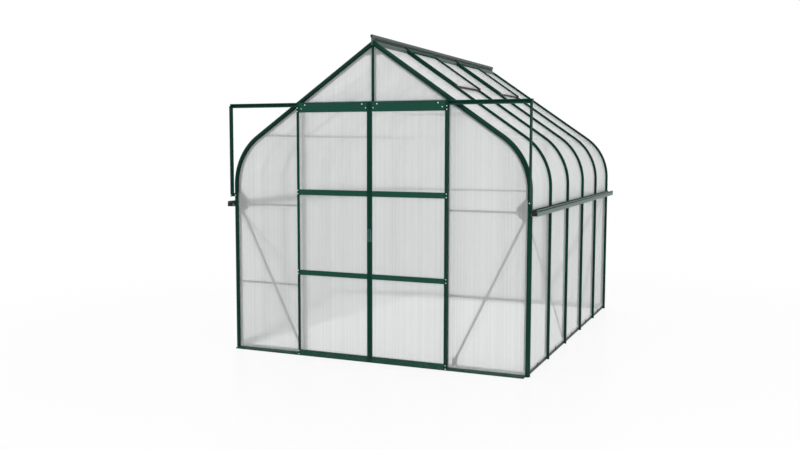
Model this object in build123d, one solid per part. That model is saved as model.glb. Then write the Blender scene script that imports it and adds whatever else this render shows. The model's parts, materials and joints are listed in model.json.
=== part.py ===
from build123d import *
import math
import os

# Greenhouse in millimetres: X across the front, Y from front to rear, Z up.
# The origin is the centre of the base on the ground. All joints are closed.

# Overall shape
half_width = 1274.0          # centre plane to the outer face of a corner post
bay_width = 620.0            # glazing bar spacing along the sides
bay_count = 5
curve_start = 1376.0         # height where the wall turns into the eaves curve
curve_radius = 500.0         # outer radius of the eaves curve
roof_pitch = 34.6            # slope of the roof in degrees

# Clearances
fit_gap = 0.4                # between neighbouring frame members
layer_gap = 0.2              # between flat bars that are bolted together
pane_edge = 1.0              # around the edges of a pane
bolt_clear = 0.2             # around a bolt in its hole
pin_clear = 0.05             # around a turning pin
roll_gap = 0.1               # under a roller

# Glazing bars and panes, depths counted inwards from the bars' outer faces
pane_depth = 20.0
pane_thickness = 6.0
flange_thickness = 2.6
rib_height = 11.0
rib_thickness = 2.0
channel_width = 11.0
nose_width = 16.0
nose_wall = 2.0
jamb_flange = 8.0            # flange of a door jamb, on the pane's side only
apex_nose = 10.0             # nose of the bar under the apex
flange_width = 46.0

# Corner posts and bows
corner_size = 30.0
corner_wall = 2.0
corner_chamfer = 12.0        # outer edge of the posts and bows
corner_flange = 20.0
corner_rib = 2.5
joint_drop = 64.0            # butt joint of post and bow below the start of the curve
corner_bolt_drop = 20.0

# Sills
sill_height = 28.0
sill_lip = 20.0
sill_plate = 2.5
sill_reach = 70.0            # inner edge of the rear and side base plates
front_sill_reach = 60.0
front_sill_toe = 50.0        # front edge of the base plate ahead of the posts
skirt_foot = 36.0
skirt_toe = 5.0
skirt_head = 3.0
skirt_height = 9.0
front_lip = 25.0             # lip behind the front panes above the skirt
anchor_depth = 52.0
anchor_radius = 4.5
nose_foot = 2.0

# Eaves gutter and beam
shelf_drop = 156.0           # eaves shelf below the start of the curve
gutter_rise = 22.0
gutter_fall = 23.0
gutter_width = 52.0
gutter_step_rise = 6.6
gutter_wall = 2.6
gutter_inset = 1.4
gutter_neck = 4.4
gutter_bead = 4.0
gutter_groove = 2.2
gutter_groove_drop = 11.0
gutter_groove_height = 3.0
gutter_end = 20.0
shelf_thickness = 3.0
beam_fall = 30.0
beam_rise = 26.0

# Purlins
purlin_width = 20.0
purlin_height = 10.0
purlin_offset = 55.0

# Ridge
ridge_web = 6.0
ridge_web_drop = 40.0
ridge_head_width = 18.0
ridge_head_low = 18.0
ridge_head_high = 40.0
ridge_wall = 3.0
ridge_end = 15.0
wing_reach = 36.0
wing_thickness = 2.0
wing_lip = 2.0               # closing lip from the wing down to the panes
socket_out = 12.0
socket_up = 4.7
socket_radius = 7.5
socket_bore = 5.0
mouth_low = -60.0
mouth_high = 36.0

# Front and rear gables
jamb_offset = -20.0          # from the middle of one half of the front
rear_bar_offset = -17.0
header_drop = 20.6           # header below the bows where they meet the jambs
header_height = 12.0
header_lip = 20.0
tie_height = 16.0
upper_tie_drop = 94.0
lower_tie_centre = 564.0
rear_tie_height = 28.0
rear_tie_lift = 14.0         # upper rear tie above the door header
strip_thickness = 2.5
brace_width = 20.0
gusset_thickness = 2.0
gusset_rise = 6.0
gusset_fall = 160.0
gusset_reach = 126.0
gusset_waist_drop = 64.0
gusset_waist_height = 42.0
gusset_step = 58.0
gusset_toe = 72.0
apex_plate_reach = 72.0
apex_plate_top = 36.0        # depth of its upper edges below the slopes
apex_plate_drop = 112.0
apex_bolt_drop = 84.0
brace_drop = 144.0
brace_top_depth = 46.0
brace_foot = 62.0
front_foot_shift = 58.0      # from a door jamb to the foot of its brace
foot_plate_width = 40.0
foot_plate_top = 84.0
side_brace_drop = 152.0
side_brace_depth = 44.0
side_brace_foot = 70.0

# Door track and struts
track_overhang = 3.0
track_drop = 22.0            # track underside below the top of the header
track_height = 33.0
track_depth = 38.0
track_wall = 2.5
track_lip = 6.5
lip_thickness = 2.0
track_cap = 2.0
strut_width = 12.0
strut_out = 2.0              # beyond the post's outer face
strut_near = 14.0            # distances ahead of the posts
strut_far = 52.0
strut_lap = 16.0             # front of the strut over the face of the track
strut_back = 4.0
strut_foot_drop = 10.0
strut_wall = 1.6
lug_width = 28.0
lug_height = 26.0
lug_bolt_inset = 17.0

# Sliding doors
leaf_inner = 1.0
leaf_lap = 23.0              # leaf edge beyond the middle of the jamb
leaf_low = 4.0
leaf_rise = 31.0             # leaf top above the track underside
leaf_thickness = 16.0
leaf_track_gap = 2.0
stile_width = 20.0
frame_wall = 2.0
groove_width = 7.0
groove_depth = 9.0
groove_edge = 0.5
bottom_rail = 46.0
lower_rail_foot = 665.0
lower_rail = 40.0
middle_rail_foot = 1312.0
middle_rail = 44.0
top_rail = 76.0
guide_thickness = 2.0
guide_top = 11.0
guide_slot = 6.0
guide_slot_top = 16.0
handle_low = 958.0
handle_high = 1060.0
handle_width = 13.0
handle_inset = 2.0
handle_thickness = 3.0
grip_width = 5.0
grip_height = 7.0
grip_margin = 14.0
roller_radius = 11.0
roller_width = 8.0
roller_outer_inset = 76.0
roller_inner_inset = 63.0
axle_radius = 3.0
axle_collar = 5.0
axle_end = 2.0
screw_head = 4.2
screw_rise = 2.0
screw_shank = 1.8
screw_length = 5.0
rail_screw_drop = 47.0
rail_screw_outer = 43.0
rail_screw_inner = 32.0
stile_screw_inset = 6.0
stile_screw_margin = 9.0
stile_screw_step = 26.0

# Roof vents, lifts counted outwards from the roof bars' outer faces
vent_start = 54.0            # runs are counted down the slope from the apex
vent_foot = 572.0
vent_cap_lift = 0.4
vent_cap_high = 12.0
vent_cap_back = 8.0          # over the bar, from its middle
vent_leg_near = 9.0
vent_leg_far = 12.0
vent_leg_low = -9.6
vent_ledge = 6.0
vent_bead = 4.0
vent_sheet = 4.0
vent_pane_low = -6.5
vent_pane_gap = 0.5
vent_rail = 14.0
vent_tuck = 7.0
vent_bottom_width = 12.0
vent_bottom_low = -11.0
vent_bottom_high = -0.4
bead_radius = 4.8
neck_thickness = 2.6
cill_top = 541.0
cill_width = 22.0
cill_depth = 11.6
cill_wall = 2.0
vent_bays = {"front": 1, "rear": 3}
stay_run = 526.0
stay_width = 12.0
stay_thickness = 3.0
stay_lift = -13.2
stay_length = 250.0
stay_tail = 10.0
stay_hole = 2.5
stay_hole_step = 50.0
pin_radius = 3.0
pin_head = 5.0
pin_head_height = 2.0
bracket_width = 24.0
bracket_thickness = 2.5
bracket_reach = 8.0

# Fasteners and clips
bolt_radius = 3.0
bolt_head = 5.0
bolt_head_height = 4.0
nut_height = 4.5
clip_width = 30.0
clip_height = 12.0
clip_low = 6.0
clip_thickness = 2.0

# Sizes that follow from those above
half_length = bay_width * bay_count / 2
pitch = math.radians(roof_pitch)
rise = math.sin(pitch)
reach = math.cos(pitch)
curve_centre = half_width - curve_radius
joint_height = curve_start - joint_drop
corner_bolt_depth = (corner_size + corner_chamfer) / 2
corner_bolt_height = joint_height - corner_bolt_drop
shelf_top = curve_start - shelf_drop
gutter_top = shelf_top + gutter_rise
gutter_floor = shelf_top - gutter_fall
gutter_step = shelf_top + gutter_step_rise
beam_low = shelf_top - beam_fall
beam_high = shelf_top + beam_rise
jamb_centre = half_width / 2 + jamb_offset
rear_bar_centre = half_width / 2 + rear_bar_offset
upper_tie_centre = joint_height - upper_tie_drop
front_foot_centre = jamb_centre + front_foot_shift
gusset_top = joint_height + gusset_rise
gusset_foot = joint_height - gusset_fall
gusset_waist_top = joint_height - gusset_waist_drop
gusset_waist_foot = gusset_waist_top - gusset_waist_height
brace_top = joint_height - brace_drop
side_brace_top = joint_height - side_brace_drop
track_half = half_width + track_overhang
strut_foot = corner_bolt_height - strut_foot_drop
pane_back = pane_depth + pane_thickness
flange_depth = pane_back + fit_gap
flange_back = flange_depth + flange_thickness
rib_back = flange_back + rib_height
nose_hollow = nose_width - 2 * nose_wall
strip_depth = rib_back + fit_gap
strip_back = strip_depth + strip_thickness
lip_top = sill_height + sill_lip
front_lip_top = skirt_height + front_lip
corner_back = corner_size + corner_flange
post_clear = corner_size + fit_gap
flange_clear = corner_back + fit_gap
crown = ridge_web / 2 + fit_gap
nose_crown = wing_reach + fit_gap
leaf_back = track_depth + leaf_track_gap
leaf_front = leaf_back + leaf_thickness
leaf_middle = leaf_back + leaf_thickness / 2
bar_stations = [bay_width * step - half_length for step in range(1, bay_count)]
LEFT, RIGHT = -1, 1
FRONT, REAR = -1, 1
SIDE_NAMES = {LEFT: "left", RIGHT: "right"}
END_NAMES = {FRONT: "front", REAR: "rear"}


def across(side, near, far):
    """X range between two depths inwards from one side's outer face."""
    return sorted((side * (half_width - near), side * (half_width - far)))


def along(end, near, far):
    """Y range between two depths inwards from one gable's outer face."""
    return sorted((end * (half_length - near), end * (half_length - far)))


def spread(side, near, far):
    """X range between two distances from the centre plane on one side."""
    return sorted((side * near, side * far))


def around(middle, width):
    """Range of a width about its middle."""
    return (middle - width / 2, middle + width / 2)


def block(x, y, z):
    """Box from three ranges."""
    middle = Pos((x[0] + x[1]) / 2, (y[0] + y[1]) / 2, (z[0] + z[1]) / 2)
    return middle * Box(x[1] - x[0], y[1] - y[0], z[1] - z[0])


def prism(axis, span, outline):
    """Solid with a flat outline drawn across an axis, over a range along it."""
    places = {
        "x": lambda a, b: (span[0], a, b),
        "y": lambda a, b: (a, span[0], b),
        "z": lambda a, b: (a, b, span[0]),
    }
    runs = {"x": (1, 0, 0), "y": (0, 1, 0), "z": (0, 0, 1)}
    wire = Wire.make_polygon([places[axis](a, b) for a, b in outline])
    return Part() + Solid.extrude(Face(wire), Vector(*runs[axis]) * (span[1] - span[0]))


def rod(axis, centre, span, radius):
    """Cylinder along an axis over a range, centred on two coordinates across it."""
    length = span[1] - span[0]
    middle = (span[0] + span[1]) / 2
    if axis == "x":
        return Pos(middle, centre[0], centre[1]) * Rot(0, 90, 0) * Cylinder(radius, length)
    if axis == "y":
        return Pos(centre[0], middle, centre[1]) * Rot(90, 0, 0) * Cylinder(radius, length)
    return Pos(centre[0], centre[1], middle) * Cylinder(radius, length)


def joined(pieces):
    """One solid from touching pieces."""
    whole = pieces[0]
    for piece in pieces[1:]:
        whole = whole + piece
    return whole


def curve_point(depth, turn):
    """Point on the eaves curve at a depth, turned up from the wall."""
    radius = curve_radius - depth
    return (curve_centre + radius * math.cos(turn), curve_start + radius * math.sin(turn))


curve_turn = math.pi / 2 - pitch
curve_end = curve_point(0, curve_turn)
apex = curve_end[1] + curve_end[0] * math.tan(pitch)
curve_run = curve_end[0] / reach


def slope_height(x, depth):
    """Height of the roof slope at a distance from the centre plane."""
    return apex - x * math.tan(pitch) - depth / reach


header_high = slope_height(jamb_centre, post_clear) - header_drop
header_low = header_high - header_height
rear_tie_centre = header_high + rear_tie_lift
track_low = header_high - track_drop
axle_height = track_low + track_wall + roll_gap + roller_radius
leaf_outer = jamb_centre + leaf_lap
leaf_high = track_low + leaf_rise
roller_spots = {"outer": leaf_outer - roller_outer_inset, "inner": leaf_inner + roller_inner_inset}
rail_bands = [
    (leaf_low, leaf_low + bottom_rail),
    (lower_rail_foot, lower_rail_foot + lower_rail),
    (middle_rail_foot, middle_rail_foot + middle_rail),
    (leaf_high - top_rail, leaf_high),
]
rail_screw_spots = [leaf_outer - rail_screw_outer, rail_screw_inner]
rail_screw_height = leaf_high - rail_screw_drop
stile_screw_spot = leaf_outer - stile_screw_inset


def slope_point(run, depth):
    """Point on the right slope from a run down it and a depth below it."""
    return (run * reach - depth * rise, apex - run * rise - depth * reach)


def slope_bar(side, runs, depths, y):
    """Straight bar on a slope between two runs and two depths."""
    corners = [
        slope_point(runs[0], depths[0]),
        slope_point(runs[1], depths[0]),
        slope_point(runs[1], depths[1]),
        slope_point(runs[0], depths[1]),
    ]
    return prism("y", y, [(side * x, z) for x, z in corners])


def bent_strip(side, depths, foot, head, y):
    """Strip along wall, curve and slope from a foot height to a distance from the centre plane."""

    def place(point):
        return Vector(side * point[0], y[0], point[1])

    def line(first, second):
        return Edge.make_line(place(first), place(second))

    def arc(depth):
        turns = (0, curve_turn / 2, curve_turn)
        return Edge.make_three_point_arc(*[place(curve_point(depth, turn)) for turn in turns])

    outer, inner = depths
    edges = [line((half_width - outer, foot), curve_point(outer, 0)), arc(outer)]
    ends = [curve_point(outer, curve_turn), curve_point(inner, curve_turn)]
    if head is not None:
        tops = [(head, slope_height(head, outer)), (head, slope_height(head, inner))]
        edges += [line(ends[0], tops[0]), line(tops[0], tops[1]), line(tops[1], ends[1])]
    else:
        edges.append(line(ends[0], ends[1]))
    edges += [arc(inner), line(curve_point(inner, 0), (half_width - inner, foot))]
    edges.append(line((half_width - inner, foot), (half_width - outer, foot)))
    return Part() + Solid.extrude(Face(Wire(edges)), Vector(0, y[1] - y[0], 0))


def gable_core(depth, y):
    """Everything inside the gable outline at a depth."""
    sides = []
    for side in (RIGHT, LEFT):
        foot = Vector(side * (half_width - depth), y[0], 0)
        points = [curve_point(depth, turn) for turn in (0, curve_turn / 2, curve_turn)]
        bend = [Vector(side * x, y[0], z) for x, z in points]
        top = Vector(0, y[0], slope_height(0, depth))
        sides.append([foot, bend, top])
    edges = [Edge.make_line(sides[1][0], sides[0][0])]
    for foot, bend, top in sides:
        edges += [Edge.make_line(foot, bend[0]), Edge.make_three_point_arc(*bend)]
        edges.append(Edge.make_line(bend[2], top))
    return Part() + Solid.extrude(Face(Wire(edges)), Vector(0, y[1] - y[0], 0))


def strip_between(axis, span, start, finish, width):
    """Flat bar of a width from one point to another across an axis."""
    run = math.dist(start, finish)
    along_bar = ((finish[0] - start[0]) / run, (finish[1] - start[1]) / run)
    shift = (-along_bar[1] * width / 2, along_bar[0] * width / 2)
    corners = [
        (start[0] + shift[0], start[1] + shift[1]),
        (finish[0] + shift[0], finish[1] + shift[1]),
        (finish[0] - shift[0], finish[1] - shift[1]),
        (start[0] - shift[0], start[1] - shift[1]),
    ]
    return prism(axis, span, corners)


def channel_ribs(middle):
    """Ranges of the two ribs on the back of a glazing bar."""
    inner = channel_width / 2
    outer = inner + rib_thickness
    return [(middle - outer, middle - inner), (middle + inner, middle + outer)]


# Sills
def front_sill():
    """Front sill with a sloping skirt and the guide rib for the doors."""
    guide = around(-leaf_middle, guide_thickness)
    outline = [
        (-front_sill_toe, 0),
        (-front_sill_toe, sill_plate),
        (guide[0], sill_plate),
        (guide[0], guide_top),
        (guide[1], guide_top),
        (guide[1], sill_plate),
        (-skirt_foot, sill_plate),
        (-skirt_foot, skirt_toe),
        (-skirt_head, skirt_height),
        (flange_depth, skirt_height),
        (flange_depth, front_lip_top),
        (flange_back, front_lip_top),
        (flange_back, sill_plate),
        (front_sill_reach, sill_plate),
        (front_sill_reach, 0),
    ]
    chamber = [
        (skirt_toe - skirt_foot, sill_plate),
        (0, skirt_height - sill_plate),
        (flange_depth, skirt_height - sill_plate),
        (flange_depth, sill_plate),
    ]
    span = across(RIGHT, post_clear, 2 * half_width - post_clear)
    body = prism("x", span, [(depth - half_length, z) for depth, z in outline])
    return body - prism("x", span, [(depth - half_length, z) for depth, z in chamber])


def skirt_outlines():
    """Upright part of the rear and side sills, and its chamber, as depth and height."""
    front = pane_depth + fit_gap
    outline = [
        (front, 0),
        (front, sill_height),
        (flange_depth, sill_height),
        (flange_depth, lip_top),
        (flange_back, lip_top),
        (flange_back, 0),
    ]
    chamber = [
        (front + sill_plate, sill_plate),
        (front + sill_plate, sill_height - sill_plate),
        (flange_depth, sill_height - sill_plate),
        (flange_depth, sill_plate),
    ]
    return outline, chamber


def rear_sill():
    """Rear sill between the rear posts."""
    span = across(RIGHT, post_clear, 2 * half_width - post_clear)
    outline, chamber = skirt_outlines()
    skirt = prism("x", span, [(half_length - depth, z) for depth, z in outline])
    hollow = prism("x", span, [(half_length - depth, z) for depth, z in chamber])
    plate = block(span, along(REAR, flange_back, sill_reach), (0, sill_plate))
    return skirt - hollow + plate


def side_sill(side):
    """Side sill with its anchor holes."""
    span = sorted((half_length - post_clear, post_clear - half_length))
    outline, chamber = skirt_outlines()
    skirt = prism("y", span, [(side * (half_width - depth), z) for depth, z in outline])
    hollow = prism("y", span, [(side * (half_width - depth), z) for depth, z in chamber])
    plate_span = (front_sill_reach + fit_gap - half_length, half_length - sill_reach - fit_gap)
    plate = block(across(side, flange_back, sill_reach), plate_span, (0, sill_plate))
    sill = skirt - hollow + plate
    for station in (bar_stations[0] - bay_width / 2, bar_stations[-1] + bay_width / 2):
        centre = (side * (half_width - anchor_depth), station)
        sill = sill - rod("z", centre, (-sill_plate, 2 * sill_plate), anchor_radius)
    return sill


# Corner posts and bows
def chamfer_at(inset):
    """Size of the corner chamfer on the profile drawn in by an inset."""
    return corner_chamfer - inset * (2 - math.sqrt(2))


def corner_outline(side, end, inset):
    """Square post profile with a chamfered outer edge, drawn in by an inset."""
    far = corner_size - inset
    cut = inset + chamfer_at(inset)
    depths = [(cut, inset), (far, inset), (far, far), (inset, far), (inset, cut)]
    return [(side * (half_width - a), end * (half_length - b)) for a, b in depths]


def outline_depth(x, z):
    """Depth of a point of the gable plane below the outer outline of the frame."""
    if z <= curve_start:
        return half_width - x
    if x <= curve_end[0]:
        return (slope_height(x, 0) - z) * reach
    return curve_radius - math.dist((x, z), (curve_centre, curve_start))


def bent_tube(side, end, inset, foot):
    """Bow profile with a chamfered outer edge, drawn in by an inset, along wall, curve and slope."""
    y = along(end, inset, corner_size - inset)
    tube = bent_strip(side, (inset, corner_size - inset), foot, crown, y)
    face = end * (half_length - inset)
    edges = []
    for edge in tube.edges():
        points = [edge @ place for place in (0, 1 / 2, 1)]
        offsets = [abs(point.Y - face) for point in points]
        offsets += [abs(outline_depth(abs(point.X), point.Z) - inset) for point in points]
        if max(offsets) < bolt_clear:
            edges.append(edge)
    return tube.chamfer(chamfer_at(inset), None, edges)


def post(side, end):
    """Corner post: square tube with a glazing flange and rib on each wall."""
    height = (0, joint_height)
    flange_height = (lip_top + fit_gap, joint_height)
    gable_height = ({FRONT: front_lip_top, REAR: lip_top}[end] + fit_gap, joint_height)
    rib = corner_back - corner_rib
    tube = prism("z", height, corner_outline(side, end, 0))
    hollow = prism("z", height, corner_outline(side, end, corner_wall))
    pieces = [
        tube - hollow,
        block(across(side, corner_size, corner_back), along(end, flange_depth, flange_back), gable_height),
        block(across(side, rib, corner_back), along(end, flange_back, rib_back), gable_height),
        block(across(side, flange_depth, flange_back), along(end, corner_size, corner_back), flange_height),
        block(across(side, flange_back, rib_back), along(end, rib, corner_back), flange_height),
    ]
    body = joined(pieces)
    if end == FRONT:
        centre = (side * (half_width - lug_bolt_inset), corner_bolt_height)
        return body - rod("y", centre, along(end, 0, corner_wall), bolt_radius + bolt_clear)
    centre = (end * (half_length - corner_bolt_depth), corner_bolt_height)
    return body - rod("x", centre, across(side, 0, corner_wall), bolt_radius + bolt_clear)


def bow(side, end):
    """Bent gable bow with the post's profile, from the post up to the ridge."""
    foot = joint_height + fit_gap
    rib = corner_back - corner_rib
    pieces = [
        bent_tube(side, end, 0, foot) - bent_tube(side, end, corner_wall, foot),
        bent_strip(side, (corner_size, corner_back), foot, crown, along(end, flange_depth, flange_back)),
        bent_strip(side, (rib, corner_back), foot, crown, along(end, flange_back, rib_back)),
        bent_strip(side, (flange_depth, flange_back), foot, crown, along(end, corner_size, corner_back)),
        bent_strip(side, (flange_back, rib_back), foot, crown, along(end, rib, corner_back)),
    ]
    return joined(pieces)


# Glazing bars of the sides and the roof
def side_bar(side, station):
    """Upright glazing bar from the sill to the eaves beam."""
    top = shelf_top - shelf_thickness - fit_gap
    nose = around(station, nose_width)
    lip_foot = lip_top + fit_gap
    pieces = [
        block(across(side, 0, pane_depth), nose, (nose_foot, top)),
        block(across(side, pane_depth, flange_depth), nose, (sill_height + fit_gap, top)),
        block(across(side, flange_depth, flange_back), around(station, flange_width), (lip_foot, top)),
    ]
    for rib in channel_ribs(station):
        pieces.append(block(across(side, flange_back, rib_back), rib, (lip_foot, top)))
    hollow_x = across(side, nose_wall, flange_depth - nose_wall)
    return joined(pieces) - block(hollow_x, around(station, nose_hollow), (nose_foot, top))


def roof_bar(side, station):
    """Bent glazing bar from the eaves beam over the curve to the ridge."""
    foot = shelf_top + fit_gap
    pieces = [
        bent_strip(side, (0, flange_depth), foot, nose_crown, around(station, nose_width)),
        bent_strip(side, (flange_depth, flange_back), foot, crown, around(station, flange_width)),
    ]
    for rib in channel_ribs(station):
        pieces.append(bent_strip(side, (flange_back, rib_back), foot, crown, rib))
    hollow_depths = (nose_wall, flange_depth - nose_wall)
    return joined(pieces) - bent_strip(side, hollow_depths, foot, nose_crown, around(station, nose_hollow))


# Eaves, purlins and ridge
def eaves_gutter(side):
    """Gutter trough outside the posts with the eaves beam behind the glazing."""
    wall = gutter_wall
    inner = gutter_inset
    outer = gutter_width
    neck = outer - gutter_neck
    groove_high = gutter_step - gutter_groove_drop
    groove_low = groove_high - gutter_groove_height
    outline = [
        (inner, gutter_floor),
        (outer, gutter_floor),
        (outer, groove_low),
        (outer - gutter_groove, groove_low),
        (outer - gutter_groove, groove_high),
        (outer, groove_high),
        (outer, gutter_step),
        (neck, gutter_step),
        (neck, gutter_top - gutter_bead),
        (outer - wall, gutter_top - gutter_bead),
        (outer - wall, gutter_top),
        (neck - gutter_bead, gutter_top),
        (neck - gutter_bead, gutter_top - gutter_bead),
        (neck - wall, gutter_top - gutter_bead),
        (neck - wall, gutter_step - wall),
        (outer - wall, gutter_step - wall),
        (outer - wall, groove_high + wall),
        (outer - wall - gutter_groove, groove_high + wall),
        (outer - wall - gutter_groove, groove_low - wall),
        (outer - wall, groove_low - wall),
        (outer - wall, gutter_floor + wall),
        (inner + wall, gutter_floor + wall),
        (inner + wall, shelf_top),
        (inner, shelf_top),
    ]
    length = sorted((half_length + gutter_end, -half_length - gutter_end))
    trough = prism("y", length, [(side * (half_width + out), z) for out, z in outline])
    between = sorted((half_length - flange_clear, flange_clear - half_length))
    shelf = block(across(side, -inner, strip_back), between, (shelf_top - shelf_thickness, shelf_top))
    beam = block(across(side, strip_depth, strip_back), between, (beam_low, beam_high))
    whole = trough + shelf + beam
    for station in bar_stations:
        for height in beam_bolt_heights:
            hole = across(side, strip_depth, strip_back)
            whole = whole - rod("x", (station, height), hole, bolt_radius + bolt_clear)
    return whole


beam_bolt_heights = [(beam_low + shelf_top - shelf_thickness) / 2, (beam_high + shelf_top) / 2]


def purlin(side):
    """Bar along the inner side of the roof bars at the top of the curve."""
    runs = (curve_run - purlin_offset - purlin_width, curve_run - purlin_offset)
    depths = (strip_depth, strip_depth + purlin_height)
    end = half_length - rib_back - fit_gap
    return slope_bar(side, runs, depths, (-end, end))


def hinge_socket(side, span):
    """Open round socket beside the ridge web for the vents' hinge beads."""
    centre = (side * socket_out, apex + socket_up)
    ring = rod("y", centre, span, socket_radius) - rod("y", centre, span, socket_bore)
    wedge = [centre]
    for turn in (mouth_low, (mouth_low + mouth_high) / 2, mouth_high):
        angle = math.radians(turn)
        length = 2 * socket_radius
        wedge.append((centre[0] + side * length * math.cos(angle), centre[1] + length * math.sin(angle)))
    lug_inner = ridge_web / 2
    lug_outer = socket_out - socket_bore
    lug = block(spread(side, lug_inner, lug_outer), span, around(apex + socket_up, socket_bore))
    lug = lug - rod("y", centre, span, socket_bore)
    return ring - prism("y", span, wedge) + lug


def ridge_bar():
    """Ridge bar with cap head, flashing wings with closing lips and hinge sockets."""
    span = sorted((half_length + ridge_end, -half_length - ridge_end))
    wing_span = (post_clear - half_length, half_length - post_clear)
    web = block(around(0, ridge_web), span, (apex - ridge_web_drop, apex + ridge_head_low))
    head = block(around(0, ridge_head_width), span, (apex + ridge_head_low, apex + ridge_head_high))
    head = head.fillet(ridge_head_width / 4, head.edges().filter_by(Axis.Y).group_by(Axis.Z)[-1])
    hollow_height = (apex + ridge_head_low + ridge_wall, apex + ridge_head_high - ridge_wall)
    head = head - block(around(0, ridge_head_width - 2 * ridge_wall), span, hollow_height)
    pieces = [web, head]
    for side in (LEFT, RIGHT):
        low = -fit_gap
        high = -fit_gap - wing_thickness
        inner = ridge_web / 2
        outline = [
            (side * inner, slope_height(inner, low)),
            (side * wing_reach, slope_height(wing_reach, low)),
            (side * wing_reach, slope_height(wing_reach, high)),
            (side * inner, slope_height(inner, high)),
        ]
        pieces.append(prism("y", wing_span, outline))
        lip_inner = wing_reach - wing_lip
        lip_low = pane_depth - fit_gap
        lip = [
            (side * lip_inner, slope_height(lip_inner, low)),
            (side * wing_reach, slope_height(wing_reach, low)),
            (side * wing_reach, slope_height(wing_reach, lip_low)),
            (side * lip_inner, slope_height(lip_inner, lip_low)),
        ]
        pieces.append(prism("y", wing_span, lip))
        pieces.append(hinge_socket(side, wing_span))
    return joined(pieces)


# Gable bars
def gable_bar(centre, end, foot, lip_foot, top, width=nose_width, flange=None):
    """Upright gable bar under the bows."""
    nose = block(around(centre, width), along(end, 0, flange_depth), (foot, top))
    flange = flange or around(centre, flange_width)
    backs = [block(flange, along(end, flange_depth, flange_back), (lip_foot, top))]
    for rib in channel_ribs(centre):
        backs.append(block(rib, along(end, flange_back, rib_back), (lip_foot, top)))
    depth = along(end, 0, rib_back)
    nose = nose & gable_core(post_clear, depth)
    back = joined(backs) & gable_core(flange_clear, depth)
    hollow_depth = along(end, nose_wall, flange_depth - nose_wall)
    return nose + back - block(around(centre, width - 2 * nose_wall), hollow_depth, (foot, top))


web_foot = apex - ridge_web_drop - fit_gap


def front_gable_bars():
    """Door jambs and the bar from the header to the apex."""
    bars = []
    for side in (LEFT, RIGHT):
        foot = skirt_height + fit_gap
        half_nose = nose_width / 2
        flange = spread(side, jamb_centre - half_nose, jamb_centre + half_nose + jamb_flange)
        lip_foot = front_lip_top + fit_gap
        bars.append(gable_bar(side * jamb_centre, FRONT, foot, lip_foot, web_foot, flange=flange))
    header_clear = header_high + fit_gap
    bars.append(gable_bar(0, FRONT, header_clear, header_clear + header_lip, web_foot, apex_nose))
    return bars


def rear_gable_bars():
    """Three bars of the rear gable, with noses that run down in front of the sill."""
    bars = []
    for centre in (-rear_bar_centre, 0, rear_bar_centre):
        bar = gable_bar(centre, REAR, sill_height + fit_gap, lip_top + fit_gap, web_foot)
        height = (nose_foot, sill_height + fit_gap)
        toe = block(around(centre, nose_width), along(REAR, 0, pane_depth), height)
        hollow_depth = along(REAR, nose_wall, pane_depth)
        bars.append(bar + (toe - block(around(centre, nose_hollow), hollow_depth, height)))
    return bars


def door_header():
    """Bar across the top of the doorway, behind the track."""
    inner = jamb_centre - nose_width / 2 - fit_gap
    nose = block((-inner, inner), along(FRONT, 0, flange_depth), (header_low, header_high))
    nose = nose & gable_core(post_clear, along(FRONT, 0, flange_back))
    height = (header_low, header_high + header_lip)
    back = block((-inner, inner), along(FRONT, flange_depth, flange_back), height)
    back = back & gable_core(flange_clear, along(FRONT, 0, flange_back))
    return nose + back


# Bracing
def gusset(side, end):
    """Plate over the post and bow joint on the inner side of a gable."""
    start = strip_back + layer_gap
    outline = [
        (corner_back - corner_rib, gusset_top),
        (gusset_step, gusset_top),
        (gusset_reach, gusset_waist_top),
        (gusset_reach, gusset_waist_foot),
        (gusset_toe, gusset_foot),
        (corner_back - corner_rib, gusset_foot),
    ]
    corners = [(side * (half_width - depth), z) for depth, z in outline]
    plate = prism("y", along(end, start, start + gusset_thickness), corners)
    for centre in gusset_bolts(side):
        hole = along(end, start, start + gusset_thickness)
        plate = plate - rod("y", centre, hole, bolt_radius + bolt_clear)
    return plate


def gusset_bolts(side):
    """Centres of the tie bolt and the brace bolt of a gusset."""
    tie_bolt = (side * (half_width - gusset_reach + brace_width / 2), upper_tie_centre)
    brace_bolt = (side * (half_width - brace_top_depth - brace_width / 2), brace_top)
    return [tie_bolt, brace_bolt]


def foot_plate(side):
    """Plate that stands on the front sill and holds the foot of a brace."""
    start = strip_back + layer_gap
    depth = along(FRONT, start, start + gusset_thickness)
    centre = side * front_foot_centre
    plate = block(around(centre, foot_plate_width), depth, (sill_plate + fit_gap, foot_plate_top))
    return plate - rod("y", (centre, brace_foot), depth, bolt_radius + bolt_clear)


def apex_plate(end):
    """Plate behind the bows' joint under the ridge."""
    start = strip_back + layer_gap
    depth = along(end, start, start + gusset_thickness)
    foot = apex - apex_plate_drop
    corners = [(0, slope_height(0, apex_plate_top))]
    corners.append((apex_plate_reach, slope_height(apex_plate_reach, apex_plate_top)))
    corners += [(apex_plate_reach, foot), (-apex_plate_reach, foot)]
    corners.append((-apex_plate_reach, slope_height(apex_plate_reach, apex_plate_top)))
    plate = prism("y", depth, corners)
    return plate - rod("y", (0, apex - apex_bolt_drop), depth, bolt_radius + bolt_clear)


def gable_gussets():
    """All flat plates on the inner sides of the gables."""
    plates = [gusset(side, end) for side in (LEFT, RIGHT) for end in (FRONT, REAR)]
    plates += [foot_plate(LEFT), foot_plate(RIGHT)]
    return plates + [apex_plate(FRONT), apex_plate(REAR)]


def gable_tie(end, x, centre, holes, height=tie_height):
    """Flat bar across the back of the gable bars."""
    depth = along(end, strip_depth, strip_back)
    tie = block(x, depth, around(centre, height))
    for hole in holes:
        tie = tie - rod("y", (hole, centre), depth, bolt_radius + bolt_clear)
    return tie


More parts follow.
